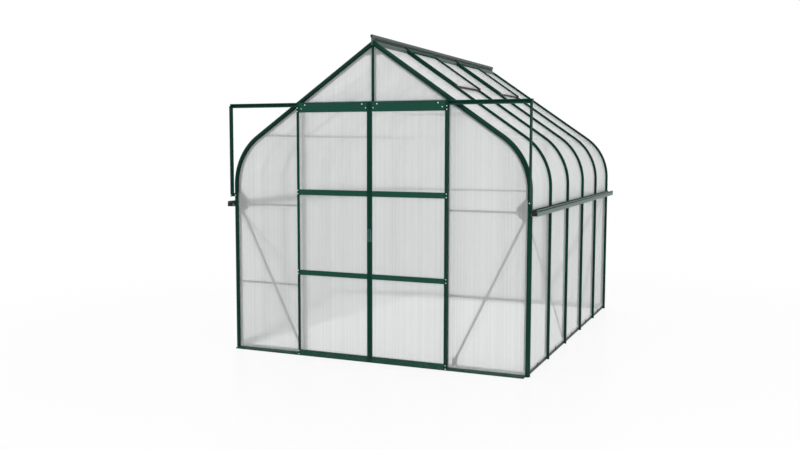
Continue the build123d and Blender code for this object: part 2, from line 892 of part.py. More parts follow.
def gable_ties():
    """Upper and lower ties beside the doorway and two ties across the rear."""
    ties = []
    post_edge = half_width - corner_back + corner_rib
    inner = jamb_centre - nose_width / 2
    for side in (LEFT, RIGHT):
        span = spread(side, inner, post_edge)
        upper_holes = [side * jamb_centre, gusset_bolts(side)[0][0]]
        ties.append(gable_tie(FRONT, span, upper_tie_centre, upper_holes))
        ties.append(gable_tie(FRONT, span, lower_tie_centre, [side * jamb_centre]))
    rear_holes = [-rear_bar_centre, 0, rear_bar_centre]
    rear_holes += [gusset_bolts(side)[0][0] for side in (LEFT, RIGHT)]
    ties.append(gable_tie(REAR, (-post_edge, post_edge), upper_tie_centre, rear_holes))
    head_reach = (apex - rear_tie_centre - (corner_back - corner_rib) / reach) / math.tan(pitch)
    ties.append(gable_tie(REAR, (-head_reach, head_reach), rear_tie_centre, [0], rear_tie_height))
    return ties


brace_depth = strip_back + gusset_thickness + 2 * layer_gap


def gable_brace(side, end):
    """Diagonal flat bar from a gusset to a foot plate or to the foot of a rear gable bar."""
    foot_centre = {FRONT: front_foot_centre, REAR: rear_bar_centre}[end]
    start = gusset_bolts(side)[1]
    finish = (side * foot_centre, brace_foot)
    run = math.dist(start, finish)
    unit = ((finish[0] - start[0]) / run, (finish[1] - start[1]) / run)
    ends = []
    for point, way in ((start, -1), (finish, 1)):
        margin = way * brace_width / 2
        ends.append((point[0] + unit[0] * margin, point[1] + unit[1] * margin))
    depth = along(end, brace_depth, brace_depth + strip_thickness)
    brace = strip_between("y", depth, ends[0], ends[1], brace_width)
    for point in (start, finish):
        brace = brace - rod("y", point, depth, bolt_radius + bolt_clear)
    return brace


def side_brace_ends(end):
    """Bolt centres of a side brace at the post and at the foot of the second bar."""
    top = (end * (half_length - side_brace_depth), side_brace_top)
    foot = (end * (half_length - 2 * bay_width), side_brace_foot)
    return [top, foot]


def side_brace(side, end):
    """Diagonal flat bar along a side wall over two bays."""
    start, finish = side_brace_ends(end)
    run = math.dist(start, finish)
    unit = ((finish[0] - start[0]) / run, (finish[1] - start[1]) / run)
    beyond = (finish[0] + unit[0] * brace_width / 2, finish[1] + unit[1] * brace_width / 2)
    depth = across(side, strip_depth, strip_back)
    brace = strip_between("x", depth, start, beyond, brace_width)
    return brace - rod("x", finish, depth, bolt_radius + bolt_clear)


# Door track and struts
def door_track():
    """Channel across the front that the door rollers run in, with closed ends."""
    high = track_low + track_height
    outline = [
        (0, track_low),
        (0, high),
        (track_depth, high),
        (track_depth, high - track_lip),
        (track_depth - lip_thickness, high - track_lip),
        (track_depth - lip_thickness, high - track_wall),
        (track_wall, high - track_wall),
        (track_wall, track_low + track_wall),
        (track_depth - lip_thickness, track_low + track_wall),
        (track_depth - lip_thickness, track_low + track_lip),
        (track_depth, track_low + track_lip),
        (track_depth, track_low),
    ]
    corners = [(-half_length - out, z) for out, z in outline]
    track = prism("x", (-track_half, track_half), corners)
    cap_depth = along(FRONT, lip_thickness - track_depth, -track_wall)
    cap_height = (track_low + track_wall, high - track_wall)
    for side in (LEFT, RIGHT):
        track = track + block(spread(side, track_half - track_cap, track_half), cap_depth, cap_height)
    return track


def track_strut(side):
    """Upright from the corner post to the end of the track, with a foot lug."""
    x = across(side, -strut_out, strut_width - strut_out)
    under = track_low - fit_gap
    ahead = track_depth + fit_gap
    outline = [
        (strut_near, strut_foot),
        (strut_far, strut_foot),
        (strut_far, track_low + strut_lap),
        (ahead, track_low + strut_lap),
        (ahead, under),
        (strut_near, under),
    ]
    tube = prism("x", x, [(-half_length - out, z) for out, z in outline])
    hollow_x = across(side, strut_wall - strut_out, strut_width - strut_out - strut_wall)
    hollow_y = along(FRONT, strut_wall - strut_far, -strut_near - strut_wall)
    tube = tube - block(hollow_x, hollow_y, (strut_foot, under - strut_wall))
    height = (strut_foot, strut_foot + lug_height)
    lug_depth = along(FRONT, -strut_back, 0)
    lug = block(across(side, -strut_out, lug_width), lug_depth, height)
    centre = (side * (half_width - lug_bolt_inset), corner_bolt_height)
    lug = lug - rod("y", centre, lug_depth, bolt_radius + bolt_clear)
    return tube + block(x, along(FRONT, -strut_near, -strut_back), height) + lug


# Panes
def bay_range(bay):
    """Y range of the panes in one bay along the side."""
    low = bay * bay_width - half_length + nose_width / 2
    high = (bay + 1) * bay_width - half_length - nose_width / 2
    if bay == 0:
        low = corner_size - half_length
    if bay == bay_count - 1:
        high = half_length - corner_size
    return (low + pane_edge, high - pane_edge)


def side_pane(side, bay):
    """Pane of a side wall below the eaves beam."""
    height = (sill_height + pane_edge, shelf_top - shelf_thickness - pane_edge)
    return block(across(side, pane_depth, pane_back), bay_range(bay), height)


def eaves_pane(side, bay):
    """Curved pane over the eaves."""
    return bent_strip(side, (pane_depth, pane_back), shelf_top + pane_edge, None, bay_range(bay))


def roof_pane(side, bay):
    """Flat pane of the roof slope."""
    top = (crown + pane_edge + pane_back * rise) / reach
    if side == RIGHT and bay in vent_bays.values():
        top = cill_top + cill_width + pane_edge
    runs = (top, curve_run - pane_edge)
    return slope_bar(side, runs, (pane_depth, pane_back), bay_range(bay))


def gable_pane(end, x, foot):
    """Pane of a gable between two distances across, cut to the gable outline."""
    depth = along(end, pane_depth, pane_back)
    return block(x, depth, (foot, apex)) & gable_core(corner_size + pane_edge, depth)


def front_gable_panes():
    """Panes beside and above the doorway."""
    half_nose = nose_width / 2 + pane_edge
    panes = []
    for side in (LEFT, RIGHT):
        beside = spread(side, jamb_centre + half_nose, half_width)
        above = spread(side, apex_nose / 2 + pane_edge, jamb_centre - half_nose)
        panes.append(gable_pane(FRONT, beside, skirt_height + pane_edge))
        panes.append(gable_pane(FRONT, above, header_high + pane_edge))
    return panes


def rear_gable_panes():
    """Four panes of the rear gable."""
    half_nose = nose_width / 2 + pane_edge
    panes = []
    for side in (LEFT, RIGHT):
        inner = spread(side, half_nose, rear_bar_centre - half_nose)
        outer = spread(side, rear_bar_centre + half_nose, half_width)
        panes.append(gable_pane(REAR, inner, sill_height + pane_edge))
        panes.append(gable_pane(REAR, outer, sill_height + pane_edge))
    return panes


# Fasteners of the frame
def channel_bolt_x(side, station, height):
    """Bolt from a side bar's channel through a plate, with its nut inside."""
    centre = (station, height)
    head_back = flange_back + fit_gap
    head = rod("x", centre, across(side, head_back, head_back + bolt_head_height), bolt_head)
    shank = rod("x", centre, across(side, head_back, strip_back + 2 * nut_height), bolt_radius)
    nut_start = strip_back + layer_gap
    nut = rod("x", centre, across(side, nut_start, nut_start + nut_height), bolt_head)
    return head + shank + nut


def channel_bolt_y(end, centre, seat):
    """Bolt from a gable bar's channel through the bars behind it, nut on the seat depth."""
    head_back = flange_back + fit_gap
    head = rod("y", centre, along(end, head_back, head_back + bolt_head_height), bolt_head)
    shank = rod("y", centre, along(end, head_back, seat + 2 * nut_height), bolt_radius)
    nut_start = seat + layer_gap
    nut = rod("y", centre, along(end, nut_start, nut_start + nut_height), bolt_head)
    return head + shank + nut


def plate_bolt(end, centre, front, back):
    """Bolt through flat bars between two depths, head on the outer side."""
    head = along(end, front - layer_gap - bolt_head_height, front - layer_gap)
    nut = along(end, back + layer_gap, back + layer_gap + nut_height)
    shank = along(end, front - layer_gap, back + 2 * nut_height)
    parts = [(shank, bolt_radius), (head, bolt_head), (nut, bolt_head)]
    return joined([rod("y", centre, span, radius) for span, radius in parts])


def corner_bolt(side, end):
    """Bolt in the side face of a corner post."""
    centre = (end * (half_length - corner_bolt_depth), corner_bolt_height)
    head = rod("x", centre, across(side, -bolt_head_height, 0), bolt_head)
    shank = rod("x", centre, across(side, 0, corner_size / 2), bolt_radius)
    return head + shank


def lug_bolt(side):
    """Bolt through a strut's lug into the corner post."""
    centre = (side * (half_width - lug_bolt_inset), corner_bolt_height)
    head = rod("y", centre, along(FRONT, -strut_back - bolt_head_height, -strut_back), bolt_head)
    shank = rod("y", centre, along(FRONT, -strut_back, corner_size / 4), bolt_radius)
    return head + shank


def frame_bolts():
    """All bolts of the fixed frame."""
    bolts = []
    gusset_back = strip_back + layer_gap + gusset_thickness
    brace_back = brace_depth + strip_thickness
    for side in (LEFT, RIGHT):
        bolts.append(lug_bolt(side))
        for station in bar_stations:
            bolts += [channel_bolt_x(side, station, height) for height in beam_bolt_heights]
        bolts.append(channel_bolt_y(FRONT, (side * jamb_centre, upper_tie_centre), strip_back))
        bolts.append(channel_bolt_y(FRONT, (side * jamb_centre, lower_tie_centre), strip_back))
        bolts.append(corner_bolt(side, REAR))
        for end in (FRONT, REAR):
            bolts.append(channel_bolt_x(side, *side_brace_ends(end)[1]))
            tie_centre, brace_centre = gusset_bolts(side)
            bolts.append(plate_bolt(end, tie_centre, strip_depth, gusset_back))
            bolts.append(plate_bolt(end, brace_centre, strip_back + layer_gap, brace_back))
        front_foot = (side * front_foot_centre, brace_foot)
        bolts.append(plate_bolt(FRONT, front_foot, strip_back + layer_gap, brace_back))
        bolts.append(channel_bolt_y(REAR, (side * rear_bar_centre, brace_foot), brace_back))
    for centre in (-rear_bar_centre, 0, rear_bar_centre):
        bolts.append(channel_bolt_y(REAR, (centre, upper_tie_centre), strip_back))
    bolts.append(channel_bolt_y(REAR, (0, rear_tie_centre), strip_back))
    for end in (FRONT, REAR):
        bolts.append(channel_bolt_y(end, (0, apex - apex_bolt_drop), gusset_back))
    return bolts


def pane_clip(side, bay):
    """Clip on the sill skirt that holds a side pane's lower edge."""
    centre = sum(bay_range(bay)) / 2
    back = pane_depth + fit_gap
    reach_up = sill_height + clip_height
    plate_x = across(side, back - clip_thickness, back)
    plate = block(plate_x, around(centre, clip_width), (clip_low, sill_height))
    tongue = block(
        across(side, pane_depth - fit_gap - clip_thickness, pane_depth - fit_gap),
        around(centre, clip_width / 2),
        (sill_height - clip_thickness, reach_up),
    )
    return plate + tongue


# Sliding doors
def leaf_depth(front, back):
    """Y range from two depths counted ahead of the posts' front faces."""
    return along(FRONT, -front, -back)


leaf_range = leaf_depth(leaf_front, leaf_back)
leaf_hollow = leaf_depth(leaf_front - frame_wall, leaf_back + frame_wall)
groove_range = leaf_depth(leaf_middle + groove_width / 2, leaf_middle - groove_width / 2)
pane_range = leaf_depth(leaf_middle + pane_thickness / 2, leaf_middle - pane_thickness / 2)


def screw_places():
    """Screws of a leaf as distance from the centre plane and height."""
    places = [(spot, rail_screw_height) for spot in rail_screw_spots]
    for low, _ in rail_bands:
        first = low + stile_screw_margin
        places += [(stile_screw_spot, first), (stile_screw_spot, first + stile_screw_step)]
    return places


def drilled(side, shape):
    """Shape with the holes for a leaf's screws and roller bolts."""
    hole_depth = leaf_depth(leaf_front, leaf_front - frame_wall)
    for spot, height in screw_places():
        shape = shape - rod("y", (side * spot, height), hole_depth, screw_shank + bolt_clear)
    for spot in roller_spots.values():
        shape = shape - rod("y", (side * spot, axle_height), leaf_range, axle_radius + bolt_clear)
    return shape


def door_stiles(side):
    """Outer and meeting stiles, each with a groove for the panes."""
    height = (leaf_low, leaf_high)
    stiles = []
    for edge, way in ((leaf_outer, -1), (leaf_inner, 1)):
        inner = edge + way * stile_width
        groove = inner - way * groove_depth
        body = block(spread(side, edge, inner), leaf_range, height)
        hollow = spread(side, edge + way * frame_wall, groove - way * frame_wall)
        body = body - block(hollow, leaf_hollow, height)
        body = body - block(spread(side, groove, inner), groove_range, height)
        slot = leaf_depth(leaf_middle + guide_slot / 2, leaf_middle - guide_slot / 2)
        body = body - block(spread(side, edge, inner), slot, (leaf_low, guide_slot_top))
        stiles.append(drilled(side, body))
    return stiles


def door_rails(side):
    """Four rails between the stiles, with grooves for the panes."""
    x = spread(side, leaf_inner + stile_width, leaf_outer - stile_width)
    last = len(rail_bands) - 1
    rails = []
    for place, (low, high) in enumerate(rail_bands):
        body = block(x, leaf_range, (low, high))
        hollow_low = low + frame_wall
        hollow_high = high - frame_wall
        if place > 0:
            body = body - block(x, groove_range, (low, low + groove_depth))
            hollow_low = low + groove_depth + frame_wall
        else:
            slot = leaf_depth(leaf_middle + guide_slot / 2, leaf_middle - guide_slot / 2)
            body = body - block(x, slot, (low, guide_slot_top))
            hollow_low = guide_slot_top + frame_wall
        if place < last:
            body = body - block(x, groove_range, (high - groove_depth, high))
            hollow_high = high - groove_depth - frame_wall
        body = body - block(x, leaf_hollow, (hollow_low, hollow_high))
        rails.append(drilled(side, body))
    return rails


def door_panes(side):
    """Three panes in the grooves of a leaf."""
    tuck = groove_depth - groove_edge
    x = spread(side, leaf_inner + stile_width - tuck, leaf_outer - stile_width + tuck)
    panes = []
    for lower, upper in zip(rail_bands, rail_bands[1:]):
        panes.append(block(x, pane_range, (lower[1] - tuck, upper[0] + tuck)))
    return panes


def door_handle(side):
    """Handle plate with a raised grip on the meeting stile."""
    start = leaf_inner + handle_inset
    plate_front = leaf_front + handle_thickness
    x = spread(side, start, start + handle_width)
    plate = block(x, leaf_depth(plate_front, leaf_front), (handle_low, handle_high))
    middle = start + handle_width / 2
    grip_x = spread(side, middle - grip_width / 2, middle + grip_width / 2)
    grip_range = leaf_depth(plate_front + grip_height, plate_front)
    grip = block(grip_x, grip_range, (handle_low + grip_margin, handle_high - grip_margin))
    ends = grip.edges().filter_by(Axis.X).group_by(Axis.Y)[0]
    grip = grip.fillet(grip_height / 2, ends)
    return plate + grip


def door_fixings(side):
    """Frame screws and roller bolts of a leaf."""
    fixings = []
    for spot, height in screw_places():
        centre = (side * spot, height)
        head = rod("y", centre, leaf_depth(leaf_front + screw_rise, leaf_front), screw_head)
        shank = rod("y", centre, leaf_depth(leaf_front, leaf_front - screw_length), screw_shank)
        fixings.append(head + shank)
    roller_front, roller_back = roller_depths
    for spot in roller_spots.values():
        centre = (side * spot, axle_height)
        head = rod("y", centre, leaf_depth(leaf_front + screw_rise, leaf_front), axle_collar)
        collar = rod("y", centre, leaf_depth(leaf_back, roller_front + roll_gap), axle_collar)
        cap_front = roller_back - roll_gap
        cap = rod("y", centre, leaf_depth(cap_front, cap_front - axle_end), axle_collar)
        shank = rod("y", centre, leaf_depth(leaf_front, cap_front), axle_radius)
        fixings.append(head + shank + collar + cap)
    return fixings


roller_middle = (track_depth - lip_thickness + track_wall) / 2
roller_depths = (roller_middle + roller_width / 2, roller_middle - roller_width / 2)


def door_roller(side, spot):
    """Roller that turns on its bolt inside the track."""
    centre = (side * spot, axle_height)
    wheel = rod("y", centre, leaf_depth(*roller_depths), roller_radius)
    return wheel - rod("y", centre, leaf_depth(*roller_depths), axle_radius + pin_clear)


# Roof vents
def vent_edges(bay):
    """Y positions of the roof bars beside a vent."""
    low = bay * bay_width - half_length
    return low, low + bay_width


def normal_rod(run, station, lifts, radius):
    """Cylinder square to the right slope, between two lifts above it."""
    x, z = slope_point(run, -(lifts[0] + lifts[1]) / 2)
    place = Plane(origin=(x, station, z), x_dir=(0, 1, 0), z_dir=(rise, 0, reach))
    return place * Cylinder(radius, lifts[1] - lifts[0])


vent_pane_high = vent_pane_low + vent_sheet
vent_groove = (vent_pane_low - vent_pane_gap, vent_pane_high + vent_pane_gap)
stay_high = stay_lift + stay_thickness


def vent_bar(runs, lifts, y):
    """Bar of a vent between runs down the slope and lifts above it."""
    return slope_bar(RIGHT, runs, (-lifts[0], -lifts[1]), y)


def vent_side(middle, way):
    """Side rail of a vent: a cap over the roof bar, a leg beside it and a groove for the pane."""
    whole = (vent_start, vent_foot)
    open_runs = (vent_start + vent_rail, vent_foot - vent_bottom_width)

    def part(runs, near, far, lifts):
        return vent_bar(runs, lifts, sorted((middle + way * near, middle + way * far)))

    pieces = [
        part(whole, -vent_cap_back, vent_leg_far, (vent_cap_lift, vent_cap_high)),
        part(whole, vent_leg_near, vent_leg_far, (vent_leg_low, vent_cap_lift)),
        part(open_runs, vent_leg_far, vent_leg_far + vent_ledge, (vent_leg_low, vent_groove[0])),
        part(open_runs, vent_leg_far, vent_leg_far + vent_bead, (vent_groove[1], vent_cap_lift)),
    ]
    return joined(pieces)


def vent_frame(bay):
    """Vent frame: top rail with hinge bead, two side rails and bottom rail with the stay bracket."""
    low, high = vent_edges(bay)
    between = (low + vent_leg_far, high - vent_leg_far)
    pieces = [vent_side(low, 1), vent_side(high, -1)]
    top_runs = (vent_start, vent_start + vent_rail)
    top = vent_bar(top_runs, (vent_leg_low, vent_cap_high), between)
    top = top - vent_bar((top_runs[1] - vent_tuck, top_runs[1]), vent_groove, between)
    bead_run = socket_out * reach - socket_up * rise
    bead_lift = socket_out * rise + socket_up * reach
    plate_lifts = (bead_lift - neck_thickness / 2, vent_cap_high)
    neck = vent_bar((bead_run, vent_start), plate_lifts, between)
    bead = rod("y", (socket_out, apex + socket_up), between, bead_radius)
    pieces.append(top + neck + bead)
    bottom_runs = (vent_foot - vent_bottom_width, vent_foot)
    bottom = vent_bar(bottom_runs, (vent_bottom_low, vent_bottom_high), between)
    bottom = bottom - vent_bar((bottom_runs[0], bottom_runs[0] + vent_tuck), vent_groove, between)
    middle = (low + high) / 2
    bracket_lifts = (vent_leg_low, vent_leg_low + bracket_thickness)
    bracket_runs = (stay_run - bracket_reach, bottom_runs[0])
    bracket = vent_bar(bracket_runs, bracket_lifts, around(middle, bracket_width))
    head_top = stay_lift - fit_gap
    pin = normal_rod(stay_run, middle, (head_top, vent_leg_low), pin_radius)
    head = normal_rod(stay_run, middle, (head_top - pin_head_height, head_top), pin_head)
    pieces.append(bottom + bracket + pin + head)
    return pieces


def vent_pane(bay):
    """Pane in the vent frame's grooves."""
    low, high = vent_edges(bay)
    tuck = vent_tuck - groove_edge
    runs = (vent_start + vent_rail - tuck, vent_foot - vent_bottom_width + tuck)
    edge = vent_leg_far + vent_pane_gap
    return vent_bar(runs, (vent_pane_low, vent_pane_high), (low + edge, high - edge))


def vent_stay(bay):
    """Casement stay with peg holes, lying along the vent's bottom rail."""
    middle = sum(vent_edges(bay)) / 2
    runs = around(stay_run, stay_width)
    stay = vent_bar(runs, (stay_lift, stay_high), (middle - stay_tail, middle + stay_length))
    drill = (stay_lift - stay_thickness, stay_high + stay_thickness)
    stay = stay - normal_rod(stay_run, middle, drill, pin_radius + pin_clear)
    count = int(stay_length / stay_hole_step)
    for step in range(1, count):
        stay = stay - normal_rod(stay_run, middle + step * stay_hole_step, drill, stay_hole)
    return stay


def vent_cill(bay):
    """Cross bar on the roof bars' flanges under a vent's lower edge."""
    runs = (cill_top, cill_top + cill_width)
    wall = cill_wall
    tube = slope_bar(RIGHT, runs, (cill_depth, pane_back), bay_range(bay))
    inner = (runs[0] + wall, runs[1] - wall)
    return tube - slope_bar(RIGHT, inner, (cill_depth + wall, pane_back - wall), bay_range(bay))


# Nodes
def collect():
    """Every named node as a list of its solids."""
    sides = (LEFT, RIGHT)
    corners = [(side, end) for end in (FRONT, REAR) for side in sides]
    bays = range(bay_count)
    nodes = {
        "front_sill": [front_sill()],
        "rear_sill": [rear_sill()],
        "ridge_bar": [ridge_bar()],
        "roof_purlins": [purlin(side) for side in sides],
        "front_gable_bars": front_gable_bars(),
        "rear_gable_bars": rear_gable_bars(),
        "door_header": [door_header()],
        "gable_gussets": gable_gussets(),
        "gable_ties": gable_ties(),
        "gable_braces": [gable_brace(*corner) for corner in corners],
        "side_braces": [side_brace(*corner) for corner in corners],
        "vent_cills": [vent_cill(bay) for bay in vent_bays.values()],
        "door_track": [door_track()],
        "track_struts": [track_strut(side) for side in sides],
        "front_gable_panes": front_gable_panes(),
        "rear_gable_panes": rear_gable_panes(),
        "frame_bolts": frame_bolts(),
        "pane_clips": [pane_clip(side, bay) for side in sides for bay in bays],
    }
    for side, end in corners:
        corner = END_NAMES[end] + "_" + SIDE_NAMES[side]
        nodes[corner + "_post"] = [post(side, end)]
        nodes[corner + "_bow"] = [bow(side, end)]
    for side in sides:
        name = SIDE_NAMES[side]
        nodes[name + "_sill"] = [side_sill(side)]
        nodes[name + "_side_bars"] = [side_bar(side, station) for station in bar_stations]
        nodes[name + "_roof_bars"] = [roof_bar(side, station) for station in bar_stations]
        nodes[name + "_eaves_gutter"] = [eaves_gutter(side)]
        nodes[name + "_side_panes"] = [side_pane(side, bay) for bay in bays]
        nodes[name + "_eaves_panes"] = [eaves_pane(side, bay) for bay in bays]
        nodes[name + "_roof_panes"] = [roof_pane(side, bay) for bay in bays]
        nodes[name + "_door_stiles"] = door_stiles(side)
        nodes[name + "_door_rails"] = door_rails(side)
        nodes[name + "_door_panes"] = door_panes(side)
        nodes[name + "_door_handle"] = [door_handle(side)]
        nodes[name + "_door_fixings"] = door_fixings(side)
        for place, spot in roller_spots.items():
            nodes[name + "_" + place + "_roller"] = [door_roller(side, spot)]
    for name, bay in vent_bays.items():
        nodes[name + "_vent_frame"] = vent_frame(bay)
        nodes[name + "_vent_pane"] = [vent_pane(bay)]
        nodes[name + "_vent_stay"] = [vent_stay(bay)]
    return nodes


def export_nodes(nodes):
    """One STEP file for each node."""
    os.makedirs("parts", exist_ok=True)
    for name, shapes in nodes.items():
        solids = [solid for shape in shapes for solid in shape.solids()]
        whole = solids[0] if len(solids) == 1 else Compound(children=solids)
        export_step(whole, os.path.join("parts", name + ".step"))
        print(name, len(shapes), "pieces", len(solids), "solids")


export_nodes(collect())
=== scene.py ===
"""A free-standing garden greenhouse: finishes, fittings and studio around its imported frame."""

import json
import logging
import math
from dataclasses import dataclass, replace
from enum import Enum
from typing import Optional, Sequence, Union

import bmesh
import bpy
from mathutils import Matrix, Vector


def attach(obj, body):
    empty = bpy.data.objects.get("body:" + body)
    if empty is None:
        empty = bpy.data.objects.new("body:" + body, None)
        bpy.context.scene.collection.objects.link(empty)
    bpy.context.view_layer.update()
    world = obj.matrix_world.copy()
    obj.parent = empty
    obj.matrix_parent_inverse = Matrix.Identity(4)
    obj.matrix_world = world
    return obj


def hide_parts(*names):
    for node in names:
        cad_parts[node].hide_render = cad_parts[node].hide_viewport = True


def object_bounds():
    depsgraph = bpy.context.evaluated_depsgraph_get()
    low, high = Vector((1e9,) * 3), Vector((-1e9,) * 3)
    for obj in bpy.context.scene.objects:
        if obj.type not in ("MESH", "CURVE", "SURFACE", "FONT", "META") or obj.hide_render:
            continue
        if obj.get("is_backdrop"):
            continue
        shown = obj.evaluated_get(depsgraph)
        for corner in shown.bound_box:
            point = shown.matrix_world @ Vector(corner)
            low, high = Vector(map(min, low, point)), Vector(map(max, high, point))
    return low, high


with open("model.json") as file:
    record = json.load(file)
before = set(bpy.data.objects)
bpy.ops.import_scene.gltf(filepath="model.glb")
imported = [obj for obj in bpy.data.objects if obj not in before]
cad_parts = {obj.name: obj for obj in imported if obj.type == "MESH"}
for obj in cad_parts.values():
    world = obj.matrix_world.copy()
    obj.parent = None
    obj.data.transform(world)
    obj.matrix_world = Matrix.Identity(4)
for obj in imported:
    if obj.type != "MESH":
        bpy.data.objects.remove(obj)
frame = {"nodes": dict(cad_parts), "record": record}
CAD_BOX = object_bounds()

LOG = logging.getLogger("greenhouse")

Face = bmesh.types.BMFace
Form = bmesh.types.BMesh
Vert = bmesh.types.BMVert
Material = bpy.types.Material
Node = bpy.types.Node
Socket = bpy.types.NodeSocket
Colour = tuple[float, float, float]
Point = tuple[float, float, float]
Span = tuple[float, float]
Outline = tuple[Span, ...]
Feed = Union[float, Sequence[float], Socket]

SMOOTH_ANGLE = math.radians(35)
MERGE_DISTANCE = 1e-6
WHITE: Colour = (1.0, 1.0, 1.0)
COLOUR_MIX_INPUTS = (0, 6, 7)
COLOUR_MIX_OUTPUT = 2


class Side(Enum):
    """The two long sides, as seen from the doors."""

    LEFT = -1
    RIGHT = 1


class End(Enum):
    """The two gables."""

    FRONT = -1
    REAR = 1


class Axis(Enum):
    """The level directions: across the greenhouse and along it."""

    X = 0
    Y = 1


class Effect(Enum):
    """The shared surface effects, by the names of their node groups."""

    COAT_GRAIN = "coat_grain"
    WEATHER = "weather"
    FLUTES = "flutes"
    BRUSHED = "brushed"


@dataclass(frozen=True)
class Shell:
    """The main sizes of the frame that the fittings follow, in metres."""

    half_width: float = 1.274
    half_length: float = 1.55
    corner: float = 0.030
    curve_start: float = 1.376
    curve_radius: float = 0.5
    pitch: float = math.radians(34.6)

    @property
    def curve_centre(self) -> float:
        """Distance of the eaves curve's centre from the centre plane."""
        return self.half_width - self.curve_radius

    @property
    def curve_turn(self) -> float:
        """Angle of the eaves curve from wall to slope."""
        return math.pi / 2 - self.pitch


SHELL = Shell()


def shade(colour: Colour, factor: float = 1.0) -> tuple[float, float, float, float]:
    """A colour times a factor, with full alpha."""
    return (colour[0] * factor, colour[1] * factor, colour[2] * factor, 1.0)


def spread(sign: int, first: float, second: float) -> Span:
    """Two distances on one side of a centre plane, the lower value first."""
    return min(sign * first, sign * second), max(sign * first, sign * second)


class Graph:
    """A node tree with short calls that place and wire its nodes."""

    def __init__(self, tree: bpy.types.NodeTree) -> None:
        """Keeps the tree to fill."""
        self.tree = tree

    def node(self, kind: str, **settings: object) -> Node:
        """Places one node.

        Args:
            kind: The node's type name.
            settings: Attributes to set on it.

        Returns:
            The new node.
        """
        made = self.tree.nodes.new(kind)
        for name, value in settings.items():
            setattr(made, name, value)
        return made

    def feed(self, target: Socket, source: Feed) -> None:
        """Wires a socket or sets its value.

        Args:
            target: The input socket.
            source: An output socket or a plain value.
        """
        if isinstance(source, Socket):
            self.tree.links.new(source, target)
        else:
            target.default_value = source

    def fed(self, made: Node, *feeds: Feed, **named: Feed) -> Node:
        """Feeds the inputs of a node.

        Args:
            made: The node.
            feeds: What goes into its first inputs, in their order.
            named: What goes into its other inputs, by their names.

        Returns:
            The same node.
        """
        for target, source in zip(made.inputs, feeds):
            self.feed(target, source)
        for name, source in named.items():
            self.feed(made.inputs[name], source)
        return made

    def maths(self, operation: str, first: Feed, second: Feed = 0.0, clamp: bool = False) -> Socket:
        """The result of a Math node, held between 0 and 1 if clamp is set."""
        made = self.node("ShaderNodeMath", operation=operation, use_clamp=clamp)
        return self.fed(made, first, second).outputs[0]

    def vectors(self, operation: str, first: Feed, second: Feed = (0.0, 0.0, 0.0)) -> Socket:
        """The vector that a Vector Math node gives."""
        made = self.node("ShaderNodeVectorMath", operation=operation)
        return self.fed(made, first, second).outputs[0]

    def parts(self, vector: Feed) -> bpy.types.NodeOutputs:
        """The X, Y and Z of a vector."""
        return self.fed(self.node("ShaderNodeSeparateXYZ"), vector).outputs

    def ramp(self, value: Feed, low: float, high: float) -> Socket:
        """A smooth step from 0 at the low value to 1 at the high one."""
        made = self.node("ShaderNodeMapRange", interpolation_type="SMOOTHSTEP")
        return self.fed(made, value, low, high).outputs["Result"]

    def noise(self, place: Feed, scale: Feed, detail: float, rough: float) -> Socket:
        """A noise with its repeats in a metre, its octaves and the strength of the finer ones."""
        made = self.node("ShaderNodeTexNoise")
        return self.fed(made, Vector=place, Scale=scale, Detail=detail, Roughness=rough).outputs[0]

    def stretched(self, place: Feed, scale: Point) -> Socket:
        """Coordinates that are scaled along their axes."""
        return self.fed(self.node("ShaderNodeMapping"), Vector=place, Scale=scale).outputs[0]

    def tint(self, share: Feed, first: Feed, second: Feed) -> Socket:
        """Mixes two colours.

        Args:
            share: How much of the second colour.
            first: First colour.
            second: Second colour.

        Returns:
            The mixed colour's socket.
        """
        made = self.node("ShaderNodeMix", data_type="RGBA")
        for number, source in zip(COLOUR_MIX_INPUTS, (share, first, second)):
            self.feed(made.inputs[number], source)
        return made.outputs[COLOUR_MIX_OUTPUT]

    def toned(self, tone: Feed, colour: Colour, span: Span) -> Socket:
        """A colour that a tone varies between two factors."""
        return self.tint(tone, shade(colour, span[0]), shade(colour, span[1]))

    def bump(self, height: Socket, distance: float, strength: float) -> Socket:
        """The normal of a relief, with its depth in metres and the share of it that shows."""
        made = self.node("ShaderNodeBump")
        return self.fed(made, Distance=distance, Strength=strength, Height=height).outputs["Normal"]

    def joined(self, share: Feed, first: Socket, second: Socket) -> Socket:
        """Two shaders mixed by the share of the second."""
        return self.fed(self.node("ShaderNodeMixShader"), share, first, second).outputs[0]


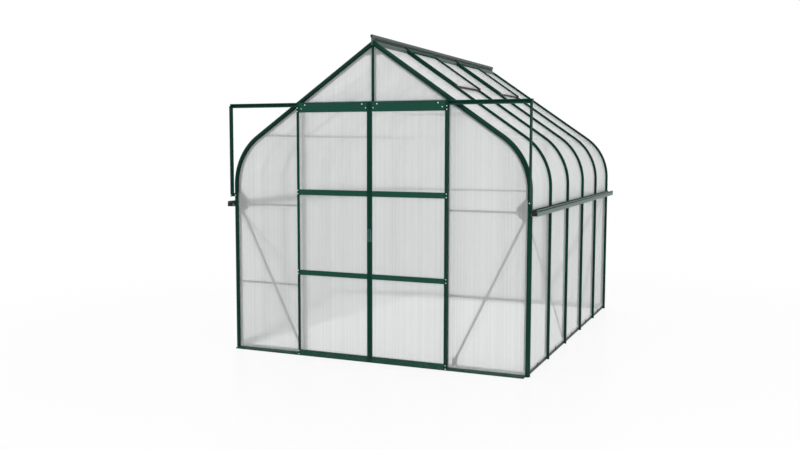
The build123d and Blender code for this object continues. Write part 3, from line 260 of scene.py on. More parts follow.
class EffectGroups:
    """The shader node groups that several finishes share, each built once."""

    broad_share: float = 0.65
    fine_share: float = 0.35
    splash_fade: float = 2.0
    web_edges: Span = (0.38, 0.48)
    drawn_lines: Point = (900.0, 900.0, 12.0)

    def __init__(self) -> None:
        """Starts with no group built."""
        self.built: dict[Effect, bpy.types.NodeTree] = {}

    def place(self, graph: Graph, effect: Effect, **feeds: Feed) -> bpy.types.NodeOutputs:
        """Places an effect in a material.

        Args:
            graph: The material's graph.
            effect: Which effect.
            feeds: What goes into its inputs, by their names.

        Returns:
            The group node's outputs.
        """
        if effect not in self.built:
            makers = {
                Effect.COAT_GRAIN: self._coat_grain,
                Effect.WEATHER: self._weather,
                Effect.FLUTES: self._flutes,
                Effect.BRUSHED: self._brushed,
            }
            self.built[effect] = makers[effect]()
        made = graph.node("ShaderNodeGroup", node_tree=self.built[effect])
        return graph.fed(made, **feeds).outputs

    @staticmethod
    def _start(
        effect: Effect, inputs: dict[str, str], outputs: Sequence[str]
    ) -> tuple[Graph, bpy.types.NodeOutputs, Node]:
        """Opens a new group.

        Args:
            effect: The effect it is for.
            inputs: Socket kinds by input name.
            outputs: Names of the values it gives.

        Returns:
            The group's graph, what is given to it and its output node.
        """
        tree = bpy.data.node_groups.new(effect.value, "ShaderNodeTree")
        for way, names in (("INPUT", inputs), ("OUTPUT", dict.fromkeys(outputs, "Float"))):
            for name, kind in names.items():
                tree.interface.new_socket(name=name, in_out=way, socket_type="NodeSocket" + kind)
        graph = Graph(tree)
        return graph, graph.node("NodeGroupInput").outputs, graph.node("NodeGroupOutput")

    def _coat_grain(self) -> bpy.types.NodeTree:
        """Builds the orange peel and mottling of a powder coat.

        Returns:
            The group.
        """
        inputs = {"Place": "Vector", "Scale": "Float"}
        graph, given, out = self._start(Effect.COAT_GRAIN, inputs, ("Height", "Tone"))
        place = given["Place"]
        peel = graph.noise(place, given["Scale"], detail=2.0, rough=0.6)
        broad = graph.noise(place, scale=6.0, detail=4.0, rough=0.6)
        fine = graph.noise(place, scale=90.0, detail=3.0, rough=0.6)
        mottled = graph.maths("MULTIPLY", broad, self.broad_share)
        speckled = graph.maths("MULTIPLY", fine, self.fine_share)
        graph.fed(out, Height=peel, Tone=graph.maths("ADD", mottled, speckled))
        return graph.tree

    def _weather(self) -> bpy.types.NodeTree:
        """Builds dust on upward faces and splashes near the ground.

        Returns:
            The group.
        """
        inputs = {"Place": "Vector", "Normal": "Vector", "Reach": "Float"}
        graph, given, out = self._start(Effect.WEATHER, inputs, ("Dust", "Splash"))
        place = given["Place"]
        upward = graph.ramp(graph.parts(given["Normal"])["Z"], low=0.2, high=1.0)
        patches = graph.ramp(graph.noise(place, scale=14.0, detail=5.0, rough=0.65), low=0.35, high=0.7)
        dust = graph.maths("MULTIPLY", upward, patches, clamp=True)
        ratio = graph.maths("DIVIDE", graph.parts(place)["Z"], given["Reach"])
        near_ground = graph.maths("SUBTRACT", 1.0, ratio, clamp=True)
        spots = graph.ramp(graph.noise(place, scale=55.0, detail=4.0, rough=0.7), low=0.45, high=0.65)
        fading = graph.maths("POWER", near_ground, self.splash_fade)
        graph.fed(out, Dust=dust, Splash=graph.maths("MULTIPLY", fading, spots))
        return graph.tree

    def _flutes(self) -> bpy.types.NodeTree:
        """Builds the flutes of a twin-wall sheet.

        Returns:
            The group.
        """
        inputs = {"Across": "Float", "Pitch": "Float"}
        graph, given, out = self._start(Effect.FLUTES, inputs, ("Slope", "Web", "Shade"))
        count = graph.maths("DIVIDE", given["Across"], given["Pitch"])
        slope = graph.maths("COSINE", graph.maths("MULTIPLY", count, math.tau))
        off = graph.maths("ABSOLUTE", graph.maths("SUBTRACT", graph.maths("FRACT", count), 0.5))
        chance = graph.node("ShaderNodeTexWhiteNoise", noise_dimensions="1D")
        graph.fed(chance, W=graph.maths("FLOOR", count))
        graph.fed(out, Slope=slope, Web=graph.ramp(off, *self.web_edges), Shade=chance.outputs["Value"])
        return graph.tree

    def _brushed(self) -> bpy.types.NodeTree:
        """Builds fine drawn lines along a metal strip.

        Returns:
            The group.
        """
        graph, given, out = self._start(Effect.BRUSHED, {"Place": "Vector"}, ("Height", "Tone"))
        place = given["Place"]
        lines = graph.noise(graph.stretched(place, self.drawn_lines), scale=1.0, detail=2.0, rough=0.5)
        cloud = graph.noise(place, scale=18.0, detail=4.0, rough=0.6)
        mean = graph.maths("MULTIPLY", graph.maths("ADD", lines, cloud), 0.5)
        graph.fed(out, Height=lines, Tone=mean)
        return graph.tree


EFFECTS = EffectGroups()


class Finish:
    """A surface finish that gives one material."""

    name: str

    def _open(self) -> tuple[Material, Graph, Node, Socket]:
        """Starts the material.

        Returns:
            The material, its graph, its Principled node and its coordinates.
        """
        material = bpy.data.materials.new(self.name)
        material.use_nodes = True
        graph = Graph(material.node_tree)
        principled = material.node_tree.nodes["Principled BSDF"]
        return material, graph, principled, graph.node("ShaderNodeTexCoord").outputs["Object"]

    def material(self) -> Material:
        """Builds the material."""
        raise NotImplementedError


@dataclass(frozen=True)
class PowderCoat(Finish):
    """Powder-coated aluminium with a slight orange peel, dust and splashes, and another colour inside set
    edges, which on the bars and sills is painted light.
    """

    name: str
    colour: Colour
    tones: Span = (0.8, 1.2)
    dust_colour: Colour = (0.30, 0.33, 0.30)
    dust_share: float = 0.15
    inner_colour: Optional[Colour] = None
    inner_edges: tuple[tuple[Axis, float], ...] = ()
    edge_blend: float = 0.001
    splash_colour: Colour = (0.10, 0.085, 0.06)
    splash_share: float = 0.35
    splash_reach: float = 0.3
    roughness: float = 0.45
    dirt_roughness: float = 0.35
    grain_roughness: float = 0.12
    specular: float = 0.12
    grain_scale: float = 900.0
    relief_depth: float = 0.0002
    relief: float = 0.25

    def material(self) -> Material:
        """Builds the coat.

        Returns:
            The material.
        """
        material, graph, principled, place = self._open()
        facing = graph.node("ShaderNodeNewGeometry").outputs["Normal"]
        grain = EFFECTS.place(graph, Effect.COAT_GRAIN, Place=place, Scale=self.grain_scale)
        weather = EFFECTS.place(graph, Effect.WEATHER, Place=place, Normal=facing, Reach=self.splash_reach)
        body = graph.toned(grain["Tone"], self.colour, self.tones)
        # Inside the inner edges, another colour: pale painted light on the bars and sills, the
        # painted-shade green on the vents.
        if self.inner_colour is not None:
            body = graph.tint(self._outside(graph, place), shade(self.inner_colour), body)
        dust = graph.maths("MULTIPLY", weather["Dust"], self.dust_share)
        dusty = graph.tint(dust, body, shade(self.dust_colour))
        splash = graph.maths("MULTIPLY", weather["Splash"], self.splash_share)
        splashed = graph.tint(splash, dusty, shade(self.splash_colour))
        matt = graph.maths("MULTIPLY", graph.maths("ADD", dust, splash), self.dirt_roughness)
        uneven = graph.maths("MULTIPLY", grain["Tone"], self.grain_roughness)
        rough = graph.maths("ADD", graph.maths("ADD", matt, uneven), self.roughness)
        normal = graph.bump(grain["Height"], self.relief_depth, self.relief)
        principled.inputs["Specular IOR Level"].default_value = self.specular
        graph.fed(principled, splashed, Roughness=rough, Normal=normal)
        return material

    def _outside(self, graph: Graph, place: Socket) -> Feed:
        """A mask of what lies outside the inner edges.

        Args:
            graph: The material's graph.
            place: Coordinates.

        Returns:
            The mask's socket.
        """
        parts = graph.parts(place)
        mask: Feed = 0.0
        for axis, edge in self.inner_edges:
            away = graph.maths("ABSOLUTE", parts[axis.value])
            mask = graph.maths("MAXIMUM", mask, graph.ramp(away, edge - self.edge_blend, edge))
        return mask


@dataclass(frozen=True)
class MillMetal(Finish):
    """Bare metal strip with fine drawn lines, and painted light that makes its rear part lighter."""

    name: str
    colour: Colour
    tones: Span = (0.78, 1.2)
    rear_painted_light_colour: Optional[Colour] = None
    rear_reach: Span = (-1.4, 0.6)
    metallic: float = 0.7
    roughness: float = 0.38
    line_roughness: float = 0.2
    relief_depth: float = 0.0001
    relief: float = 0.2

    def material(self) -> Material:
        """Builds the metal.

        Returns:
            The material.
        """
        material, graph, principled, place = self._open()
        brushed = EFFECTS.place(graph, Effect.BRUSHED, Place=place)
        tone = brushed["Tone"]
        body = graph.toned(tone, self.colour, self.tones)
        # Painted light: lighter towards the rear, standing in for the light that the hazy sheets scatter
        # over the far members.
        if self.rear_painted_light_colour is not None:
            painted_light_rear = graph.toned(tone, self.rear_painted_light_colour, self.tones)
            body = graph.tint(graph.ramp(graph.parts(place)["Y"], *self.rear_reach), body, painted_light_rear)
        rough = graph.maths("ADD", graph.maths("MULTIPLY", tone, self.line_roughness), self.roughness)
        normal = graph.bump(brushed["Height"], self.relief_depth, self.relief)
        graph.fed(principled, body, Metallic=self.metallic, Roughness=rough, Normal=normal)
        return material


@dataclass(frozen=True)
class Moulded(Finish):
    """Moulded plastic or rubber with a fine spark-eroded texture."""

    name: str
    colour: Colour
    tones: Span = (0.75, 1.25)
    roughness: float = 0.5
    grain_roughness: float = 0.15
    specular: float = 0.25
    grain_scale: float = 2200.0
    relief_depth: float = 0.00015
    relief: float = 0.3

    def material(self) -> Material:
        """Builds the plastic.

        Returns:
            The material.
        """
        material, graph, principled, place = self._open()
        grain = EFFECTS.place(graph, Effect.COAT_GRAIN, Place=place, Scale=self.grain_scale)
        body = graph.toned(grain["Tone"], self.colour, self.tones)
        uneven = graph.maths("MULTIPLY", grain["Tone"], self.grain_roughness)
        rough = graph.maths("ADD", uneven, self.roughness)
        normal = graph.bump(grain["Height"], self.relief_depth, self.relief)
        principled.inputs["Specular IOR Level"].default_value = self.specular
        graph.fed(principled, body, Roughness=rough, Normal=normal)
        return material


@dataclass(frozen=True)
class TwinWallSheet(Finish):
    """Hazy twin-wall sheet whose flutes spread what is seen through it sideways."""

    name: str
    axis: Axis
    colour: Colour = (0.77, 0.785, 0.78)
    tones: Span = (0.93, 1.05)
    pitch: float = 0.0105
    lens: float = 0.5
    ripple: float = 0.12
    open_share: float = 0.40
    glow_share: float = 0.45
    web_share: float = 0.85
    web_tone: float = 0.72
    web_cover: float = 0.2
    cloud_scale: Point = (9.0, 9.0, 1.5)
    cloud_share: float = 0.25
    cloud_tone: float = 0.86
    stain_colour: Colour = (0.36, 0.37, 0.30)
    stain_share: float = 0.3
    stain_reach: float = 0.4
    roughness: float = 0.16
    cloud_roughness: float = 0.15
    gloss_index: float = 1.5
    gloss_roughness: float = 0.12
    clear_tint: Colour = (0.95, 0.965, 0.96)
    shadow_tint: Colour = (0.55, 0.56, 0.555)
    refraction: float = 1.25

    def material(self) -> Material:
        """Builds the sheet.

        Returns:
            The material.
        """
        material, graph, principled, place = self._open()
        facing = graph.node("ShaderNodeNewGeometry").outputs
        flutes = EFFECTS.place(
            graph, Effect.FLUTES, Across=graph.parts(place)[self.axis.value], Pitch=self.pitch
        )
        bent = self._tilted(graph, facing["Normal"], flutes["Slope"], self.lens)
        rippled = self._tilted(graph, facing["Normal"], flutes["Slope"], self.ripple)
        haze = self._haze(graph, principled, place, facing["Normal"], flutes, rippled)
        lens = self._lens(graph, self.clear_tint, Normal=bent)
        web = graph.maths("MULTIPLY", flutes["Web"], self.web_cover)
        inside = graph.joined(graph.maths("SUBTRACT", self.open_share, web), haze, lens)
        gloss = graph.node("ShaderNodeBsdfGlossy")
        graph.fed(gloss, Roughness=self.gloss_roughness, Normal=rippled)
        edge_on = graph.fed(graph.node("ShaderNodeFresnel"), IOR=self.gloss_index)
        entry = graph.joined(edge_on.outputs[0], inside, gloss.outputs[0])
        path = graph.node("ShaderNodeLightPath").outputs
        dim = graph.fed(graph.node("ShaderNodeBsdfTransparent"), shade(self.shadow_tint))
        entering = graph.joined(path["Is Shadow Ray"], entry, dim.outputs[0])
        clear = graph.node("ShaderNodeBsdfTransparent")
        bending = self._lens(graph, WHITE)
        leaving = graph.joined(path["Is Singular Ray"], clear.outputs[0], bending)
        surface = graph.joined(facing["Backfacing"], entering, leaving)
        graph.fed(graph.tree.nodes["Material Output"], Surface=surface)
        return material

    def _haze(
        self, graph: Graph, principled: Node, place: Socket, normal: Socket,
        flutes: bpy.types.NodeOutputs, rippled: Socket,
    ) -> Socket:
        """Places the cloudy body of the sheet.

        Args:
            graph: The material's graph.
            principled: Its Principled node.
            place: Coordinates.
            normal: The surface normal.
            flutes: What the flutes' group gives.
            rippled: The normal of the rippled face.

        Returns:
            The shader's socket.
        """
        weather = EFFECTS.place(graph, Effect.WEATHER, Place=place, Normal=normal, Reach=self.stain_reach)
        body = graph.toned(flutes["Shade"], self.colour, self.tones)
        web = graph.tint(self.web_share, body, shade(self.colour, self.web_tone))
        webbed = graph.tint(flutes["Web"], body, web)
        cloud = graph.noise(graph.stretched(place, self.cloud_scale), scale=1.0, detail=4.0, rough=0.6)
        clouded = graph.maths("MULTIPLY", cloud, self.cloud_share)
        hazed = graph.tint(clouded, webbed, shade(self.colour, self.cloud_tone))
        stain = graph.maths("MULTIPLY", weather["Splash"], self.stain_share)
        stained = graph.tint(stain, hazed, shade(self.stain_colour))
        rough = graph.maths("ADD", graph.maths("MULTIPLY", cloud, self.cloud_roughness), self.roughness)
        principled.inputs["Specular IOR Level"].default_value = 0.0
        graph.fed(principled, stained, Roughness=rough, Normal=rippled)
        glow = graph.fed(graph.node("ShaderNodeBsdfTranslucent"), hazed)
        return graph.joined(self.glow_share, principled.outputs[0], glow.outputs[0])

    def _lens(self, graph: Graph, tint: Colour, **feeds: Feed) -> Socket:
        """A refracting shader in a tint."""
        made = graph.node("ShaderNodeBsdfRefraction")
        return graph.fed(made, shade(tint), Roughness=0.0, IOR=self.refraction, **feeds).outputs[0]

    def _tilted(self, graph: Graph, normal: Feed, slope: Feed, amount: float) -> Socket:
        """Tilts a normal along the flutes' slope.

        Args:
            graph: The material's graph.
            normal: The surface normal.
            slope: The flutes' slope, from -1 to 1.
            amount: The greatest tilt.

        Returns:
            The tilted normal's socket.
        """
        across = (1.0, 0.0, 0.0) if self.axis is Axis.X else (0.0, 1.0, 0.0)
        lean = graph.node("ShaderNodeVectorMath", operation="SCALE")
        graph.fed(lean, across, Scale=graph.maths("MULTIPLY", slope, amount))
        return graph.vectors("NORMALIZE", graph.vectors("ADD", normal, lean.outputs[0]))


RAIL_GREEN: Colour = (0.0075, 0.056, 0.037)
# Painted shade: a darker copy of the rail green for the posts, bars, bows, stiles, struts and vent
# insides, so that they read as in shade.
PAINTED_SHADE_GREEN: Colour = (0.004, 0.034, 0.0235)
RAIL_BROWN: Colour = (0.052, 0.043, 0.043)
SILL_GREY: Colour = (0.045, 0.060, 0.056)
STRIP_GREY: Colour = (0.095, 0.10, 0.098)
# Painted light: pale colours on the inner faces of the bars, posts and sills, standing in for the light
# that the hazy sheets scatter over them.
PALE_INSIDE_PAINTED_LIGHT: Colour = (0.15, 0.18, 0.17)
WHITE_INSIDE_PAINTED_LIGHT: Colour = (0.58, 0.61, 0.60)
GLAZING_DEPTH = 0.023
# The edges inside which the inner colours are painted.
ACROSS_EDGE = (Axis.X, SHELL.half_width - GLAZING_DEPTH)
ALONG_EDGE = (Axis.Y, SHELL.half_length - GLAZING_DEPTH)
SILL_EDGE = (Axis.X, 1.2505)
VENT_RAIL_EDGE = (Axis.X, 0.462)


class FinishBook:
    """All the finishes of the greenhouse, each material built once."""

    def __init__(self) -> None:
        """Lists the finishes."""
        rail = PowderCoat("green_coat", RAIL_GREEN)
        # Painted shade: the darker copy of the green coat.
        painted_shade = PowderCoat("deep_green_coat", PAINTED_SHADE_GREEN, dust_share=0.08, specular=0.06)
        bar = replace(painted_shade, inner_colour=PALE_INSIDE_PAINTED_LIGHT)
        sill = replace(rail, inner_colour=WHITE_INSIDE_PAINTED_LIGHT)
        # Painted light and shade: one twin-wall sheet in copies of differing brightness, lighter on the
        # roof and eaves and darker on the walls, for how light falls on each.
        roof = TwinWallSheet(
            "roof_sheet", Axis.Y, (0.96, 0.965, 0.96), lens=0.004, ripple=0.0, open_share=0.12,
            gloss_index=1.03,
        )
        finishes = (
            rail,
            painted_shade,
            PowderCoat("pale_green_coat", (0.120, 0.169, 0.153), dust_share=0.5, roughness=0.36),
            PowderCoat("ridge_coat", (0.070, 0.101, 0.092), dust_share=0.2, roughness=0.36),
            replace(bar, name="post_coat", inner_edges=(ACROSS_EDGE, ALONG_EDGE)),
            replace(bar, name="gable_bar_coat", inner_edges=(ALONG_EDGE,)),
            replace(bar, name="wall_bar_coat", inner_edges=(ACROSS_EDGE,)),
            replace(sill, name="end_sill_coat", inner_edges=(ALONG_EDGE,)),
            replace(sill, name="side_sill_coat", colour=SILL_GREY, inner_edges=(SILL_EDGE,)),
            replace(
                painted_shade, name="vent_coat", colour=RAIL_BROWN, inner_colour=PAINTED_SHADE_GREEN,
                inner_edges=(VENT_RAIL_EDGE,),
            ),
            # Painted light on the rear parts of the mill and tie strips.
            MillMetal("mill_strip", STRIP_GREY, rear_painted_light_colour=(0.34, 0.355, 0.35)),
            MillMetal("tie_strip", STRIP_GREY, rear_painted_light_colour=(0.12, 0.127, 0.125)),
            # Painted shade: a darker copy of the strip metal for the side braces.
            MillMetal("dark_strip", (0.05, 0.053, 0.052)),
            MillMetal("plated_fixing", (0.78, 0.92, 0.87), metallic=0.35, roughness=0.3),
            TwinWallSheet("gable_sheet", Axis.X),
            roof,
            replace(roof, name="eaves_sheet", colour=(0.84, 0.855, 0.85), open_share=0.15),
            replace(
                roof, name="wall_sheet", colour=(0.71, 0.725, 0.72), ripple=0.01, open_share=0.42,
                gloss_index=1.15, gloss_roughness=0.10,
            ),
            Moulded("handle_plastic", (0.032, 0.125, 0.098), roughness=0.42),
            Moulded("wheel_plastic", (0.04, 0.042, 0.042)),
            Moulded("clip_plastic", (0.03, 0.036, 0.034), roughness=0.55),
            Moulded("seal_rubber", (0.008, 0.011, 0.010), roughness=0.62, relief=0.15),
        )
        self.finishes: dict[str, Finish] = {finish.name: finish for finish in finishes}
        self.built: dict[str, Material] = {}

    def __getitem__(self, name: str) -> Material:
        """The material of a finish.

        Args:
            name: The finish's name.

        Returns:
            Its material.
        """
        if name not in self.built:
            self.built[name] = self.finishes[name].material()
        return self.built[name]


class Maker:
    """Shapes meshes and turns them into pieces on the frame."""

    def __init__(self, book: FinishBook) -> None:
        """Keeps the book of finishes."""
        self.book = book

    def add(
        self, form: Form, name: str, finish: str, body: str, slot: str, stands_for: Optional[str] = None
    ) -> None:
        """Turns a form into a piece that rides on a body.

        Args:
            form: The finished shape, which is freed.
            name: The piece's name.
            finish: The finish it is dressed in.
            body: The body it moves with.
            slot: The record's slot it belongs to; not used.
            stands_for: A node that it replaces.
        """
        bmesh.ops.remove_doubles(form, verts=form.verts, dist=MERGE_DISTANCE)
        inner = [face for face in form.faces if all(len(edge.link_faces) > 2 for edge in face.edges)]
        bmesh.ops.delete(form, geom=inner, context="FACES")
        bmesh.ops.recalc_face_normals(form, faces=form.faces)
        mesh = bpy.data.meshes.new(name)
        form.to_mesh(mesh)
        form.free()
        mesh.polygons.foreach_set("use_smooth", [True] * len(mesh.polygons))
        mesh.set_sharp_from_angle(angle=SMOOTH_ANGLE)
        mesh.materials.append(self.book[finish])
        made = bpy.data.objects.new(name, mesh)
        bpy.context.collection.objects.link(made)
        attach(made, body)
        if stands_for is not None:
            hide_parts(stands_for)
        LOG.info("piece %s on %s: %d faces", name, body, len(mesh.polygons))

    @staticmethod
    def box(form: Form, spans: Sequence[Span], edge: float, segments: int = 2) -> None:
        """Adds a box with rounded edges.

        Args:
            form: The shape to add to.
            spans: Lowest and highest value along X, Y and Z.
            edge: Radius of its edges.
            segments: Steps of the rounding.
        """
        middle = [(low + high) / 2 for low, high in spans]
        size = [high - low for low, high in spans]
        place = Matrix.Translation(middle) @ Matrix.Diagonal((*size, 1.0))
        verts = bmesh.ops.create_cube(form, size=1.0, matrix=place)["verts"]
        lines = {line for vert in verts for line in vert.link_edges}
        bmesh.ops.bevel(
            form, geom=list(lines), offset=edge, offset_type="OFFSET", segments=segments,
            affect="EDGES", profile=0.5, material=-1,
        )

    @staticmethod
    def turned(
        form: Form, centre: Point, outline: Sequence[Span], steps: int, ring: bool = False
    ) -> list[Vert]:
        """Adds a shape turned about an axis along Y.

        Args:
            form: The shape to add to.
            centre: Point of the axis.
            outline: Radius and offset along Y of each point, from one end to the other.
            steps: Sides of the turned shape.
            ring: Whether the last point joins the first.

        Returns:
            The vertices of the turned shape.
        """
        base = Vector(centre)
        before = set(form.verts)
        verts = [form.verts.new(base + Vector((radius, offset, 0.0))) for radius, offset in outline]
        pairs = list(zip(verts, verts[1:]))
        if ring:
            pairs.append((verts[-1], verts[0]))
        edges = [form.edges.new(pair) for pair in pairs]
        bmesh.ops.spin(
            form, geom=verts + edges, cent=base, axis=(0.0, 1.0, 0.0), angle=math.tau,
            steps=steps, use_merge=True, use_duplicate=False,
        )
        return [vert for vert in form.verts if vert not in before]


@dataclass
class Fitting:
    """A sub-assembly that adds its pieces to the frame, with its sizes in metres."""

    maker: Maker

    def build(self) -> None:
        """Makes the pieces."""
        raise NotImplementedError


@dataclass
class GlazingSealsAndShade(Fitting):
    """Black rubber strips between the gable sheets and the bows, which also paint shade on the bows' inner
    edges.
    """

    width: float = 0.0050
    near: float = 0.0120
    far: float = 0.0197
    gap: float = 0.0002
    foot: float = 1.314
    top_clear: float = 0.030
    curve_steps: int = 20

    def build(self) -> None:
        """Makes one strip for each corner."""
        for end in End:
            for side in Side:
                form = bmesh.new()
                self._strip(form, side.value, end.value)
                name = "seal_%s_%s" % (end.name.lower(), side.name.lower())
                self.maker.add(form, name, "seal_rubber", "frame", "dark_clip")

    def _strip(self, form: Form, side: int, end: int) -> None:
        """Draws a strip from the post's head round the eaves and up the slope.

        Args:
            form: The shape to add to.
            side: Sign of the side.
            end: Sign of the gable.
        """
        inset = SHELL.corner + self.gap
        middle_x = side * (SHELL.half_width - inset - self.width / 2)
        middle_y = end * (SHELL.half_length - (self.near + self.far) / 2)
        place = Matrix.Translation((middle_x, middle_y, self.foot))
        place = place @ Matrix.Diagonal((self.width, self.far - self.near, 1.0, 1.0))
        bmesh.ops.create_grid(form, x_segments=1, y_segments=1, size=0.5, matrix=place)
        top = self._drawn(form, list(form.faces), Vector((0.0, 0.0, SHELL.curve_start - self.foot)))
        turned = bmesh.ops.spin(
            form, geom=top, cent=(side * SHELL.curve_centre, middle_y, SHELL.curve_start),
            axis=(0.0, -side, 0.0), angle=SHELL.curve_turn, steps=self.curve_steps, use_duplicate=False,
        )
        last = [item for item in turned["geom_last"] if isinstance(item, Face)]
        slope_start = SHELL.curve_centre + SHELL.curve_radius * math.sin(SHELL.pitch)
        run = (slope_start - self.top_clear) / math.cos(SHELL.pitch)
        way = Vector((-side * math.cos(SHELL.pitch), 0.0, math.sin(SHELL.pitch)))
        self._drawn(form, last, way * run)

    @staticmethod
    def _drawn(form: Form, faces: list[Face], way: Vector) -> list[Face]:
        """Extrudes faces along a vector.

        Args:
            form: The shape they belong to.
            faces: The faces.
            way: Where they go.

        Returns:
            The moved faces.
        """
        made = bmesh.ops.extrude_face_region(form, geom=faces)["geom"]
        moved = [item for item in made if isinstance(item, Vert)]
        bmesh.ops.translate(form, verts=moved, vec=way)
        return [item for item in made if isinstance(item, Face)]


@dataclass
class DoorLeaf(Fitting):
    """The fittings of one sliding door: screws, roller bolts, rollers and handle."""

    side: Side
    front: float = -1.606
    rail_feet: tuple[float, ...] = (0.004, 0.665, 1.312, 1.967208)
    stile_screw: float = 0.634
    first_screw: float = 0.009
    screw_step: float = 0.026
    rail_screws: tuple[float, ...] = (0.597, 0.032)
    rail_screw_height: float = 1.996208
    screw_sides: int = 12
    roller_spots: tuple[tuple[str, float], ...] = (("outer", 0.564), ("inner", 0.064))
    axle_height: float = 2.025808
    bolt_sides: int = 16
    roller_middle: float = -1.56925
    wheel_sides: int = 32
    handle_inner: float = 0.003
    handle_outer: float = 0.016
    handle_low: float = 0.958
    handle_high: float = 1.060
    plate: float = 0.003
    plate_edge: float = 0.0012
    plate_steps: int = 3
    grip_margin: float = 0.016
    grip_half: float = 0.0035
    grip_rise: float = 0.007
    grip_sunk: float = 0.001
    grip_edge: float = 0.0026
    grip_steps: int = 4
    grip_screw_inset: float = 0.008
    grip_screw_scale: float = 0.8
    screw_outline: Outline = (
        (0.0, -0.0010), (0.0015, -0.0010), (0.0019, -0.0020), (0.0029, -0.0019), (0.0038, -0.0013),
        (0.0042, -0.0005), (0.0042, 0.0), (0.0018, 0.0), (0.0018, 0.0050), (0.0, 0.0056),
    )
    bolt_outline: Outline = (
        (0.0, -0.0008), (0.0020, -0.0008), (0.0023, -0.0020), (0.0036, -0.0018), (0.0047, -0.0011),
        (0.0050, -0.0003), (0.0050, 0.0), (0.0030, 0.0), (0.0030, 0.0160), (0.0050, 0.0160),
        (0.0050, 0.03235), (0.0030, 0.03235), (0.0030, 0.04115), (0.0046, 0.04115), (0.0050, 0.0416),
        (0.0050, 0.0428), (0.0044, 0.04315), (0.0, 0.04315),
    )
    wheel_outline: Outline = (
        (0.00305, -0.0040), (0.0050, -0.0040), (0.0056, -0.0032), (0.0082, -0.0032), (0.0088, -0.0040),
        (0.0102, -0.0040), (0.0110, -0.0032), (0.0110, 0.0032), (0.0102, 0.0040), (0.0088, 0.0040),
        (0.0082, 0.0032), (0.0056, 0.0032), (0.0050, 0.0040), (0.00305, 0.0040),
    )

    @property
    def door(self) -> str:
        """The door's body."""
        return self.side.name.lower() + "_door"

    def build(self) -> None:
        """Makes the door's fittings."""
        self._fixings()
        self._rollers()
        self._handle()

    def _fixings(self) -> None:
        """Makes the socket screws and the roller bolts."""
        form = bmesh.new()
        places = [(spot, self.rail_screw_height) for spot in self.rail_screws]
        for foot in self.rail_feet:
            first = foot + self.first_screw
            places += [(self.stile_screw, first), (self.stile_screw, first + self.screw_step)]
        for spot, height in places:
            centre = (self.side.value * spot, self.front, height)
            self.maker.turned(form, centre, self.screw_outline, self.screw_sides)
        for _, spot in self.roller_spots:
            centre = (self.side.value * spot, self.front, self.axle_height)
            self.maker.turned(form, centre, self.bolt_outline, self.bolt_sides)
        name = self.door + "_screws"
        self.maker.add(form, name, "plated_fixing", self.door, "zinc_fixings", self.door + "_fixings")

    def _rollers(self) -> None:
        """Makes the crowned nylon rollers."""
        for label, spot in self.roller_spots:
            form = bmesh.new()
            centre = (self.side.value * spot, self.roller_middle, self.axle_height)
            self.maker.turned(form, centre, self.wheel_outline, self.wheel_sides, ring=True)
            node = "%s_%s_roller" % (self.side.name.lower(), label)
            self.maker.add(form, node + "_wheel", "wheel_plastic", node, "roller_plastic", node)

    def _handle(self) -> None:
        """Makes the moulded handle and its two screws."""
        across = spread(self.side.value, self.handle_inner, self.handle_outer)
        face = self.front - self.plate
        form = bmesh.new()
        plate = (across, (face, self.front), (self.handle_low, self.handle_high))
        self.maker.box(form, plate, self.plate_edge, self.plate_steps)
        middle = sum(across) / 2
        grip = (
            (middle - self.grip_half, middle + self.grip_half),
            (face - self.grip_rise, face + self.grip_sunk),
            (self.handle_low + self.grip_margin, self.handle_high - self.grip_margin),
        )
        self.maker.box(form, grip, self.grip_edge, self.grip_steps)
        slot = "handle_plastic"
        self.maker.add(form, self.door + "_grip", "handle_plastic", self.door, slot, self.door + "_handle")
        heads = bmesh.new()
        scale = self.grip_screw_scale
        outline = [(radius * scale, offset * scale) for radius, offset in self.screw_outline]
        for height in (self.handle_low + self.grip_screw_inset, self.handle_high - self.grip_screw_inset):
            self.maker.turned(heads, (middle, face, height), outline, self.screw_sides)
        name = self.side.name.lower() + "_grip_screws"
        self.maker.add(heads, name, "handle_plastic", self.door, slot)


@dataclass
class EndCaps(Fitting):
    """Black rubber plugs in the open ends of the gutters and of the ridge bar."""

    gutter_reach: float = 1.5698
    gutter_depth: float = 0.004
    gutter_in: float = 0.0042
    gutter_out: float = 0.0450
    gutter_height: Span = (1.1998, 1.2238)
    gutter_edge: float = 0.001
    ridge_reach: float = 1.565
    ridge_depth: float = 0.012
    ridge_flange: float = 0.0014
    ridge_half: float = 0.0058
    ridge_height: Span = (2.5386, 2.5542)
    ridge_edge: float = 0.0007

    def build(self) -> None:
        """Makes the plugs at both ends."""
        for end in End:
            form = bmesh.new()
            along = spread(end.value, self.gutter_reach, self.gutter_reach - self.gutter_depth)
            for side in Side:
                base = SHELL.half_width
                across = spread(side.value, base + self.gutter_in, base + self.gutter_out)
                self.maker.box(form, (across, along, self.gutter_height), self.gutter_edge)
            reach = self.ridge_reach
            along = spread(end.value, reach - self.ridge_depth, reach + self.ridge_flange)
            across = (-self.ridge_half, self.ridge_half)
            self.maker.box(form, (across, along, self.ridge_height), self.ridge_edge)
            self.maker.add(form, "%s_end_plugs" % end.name.lower(), "seal_rubber", "frame", "dark_clip")


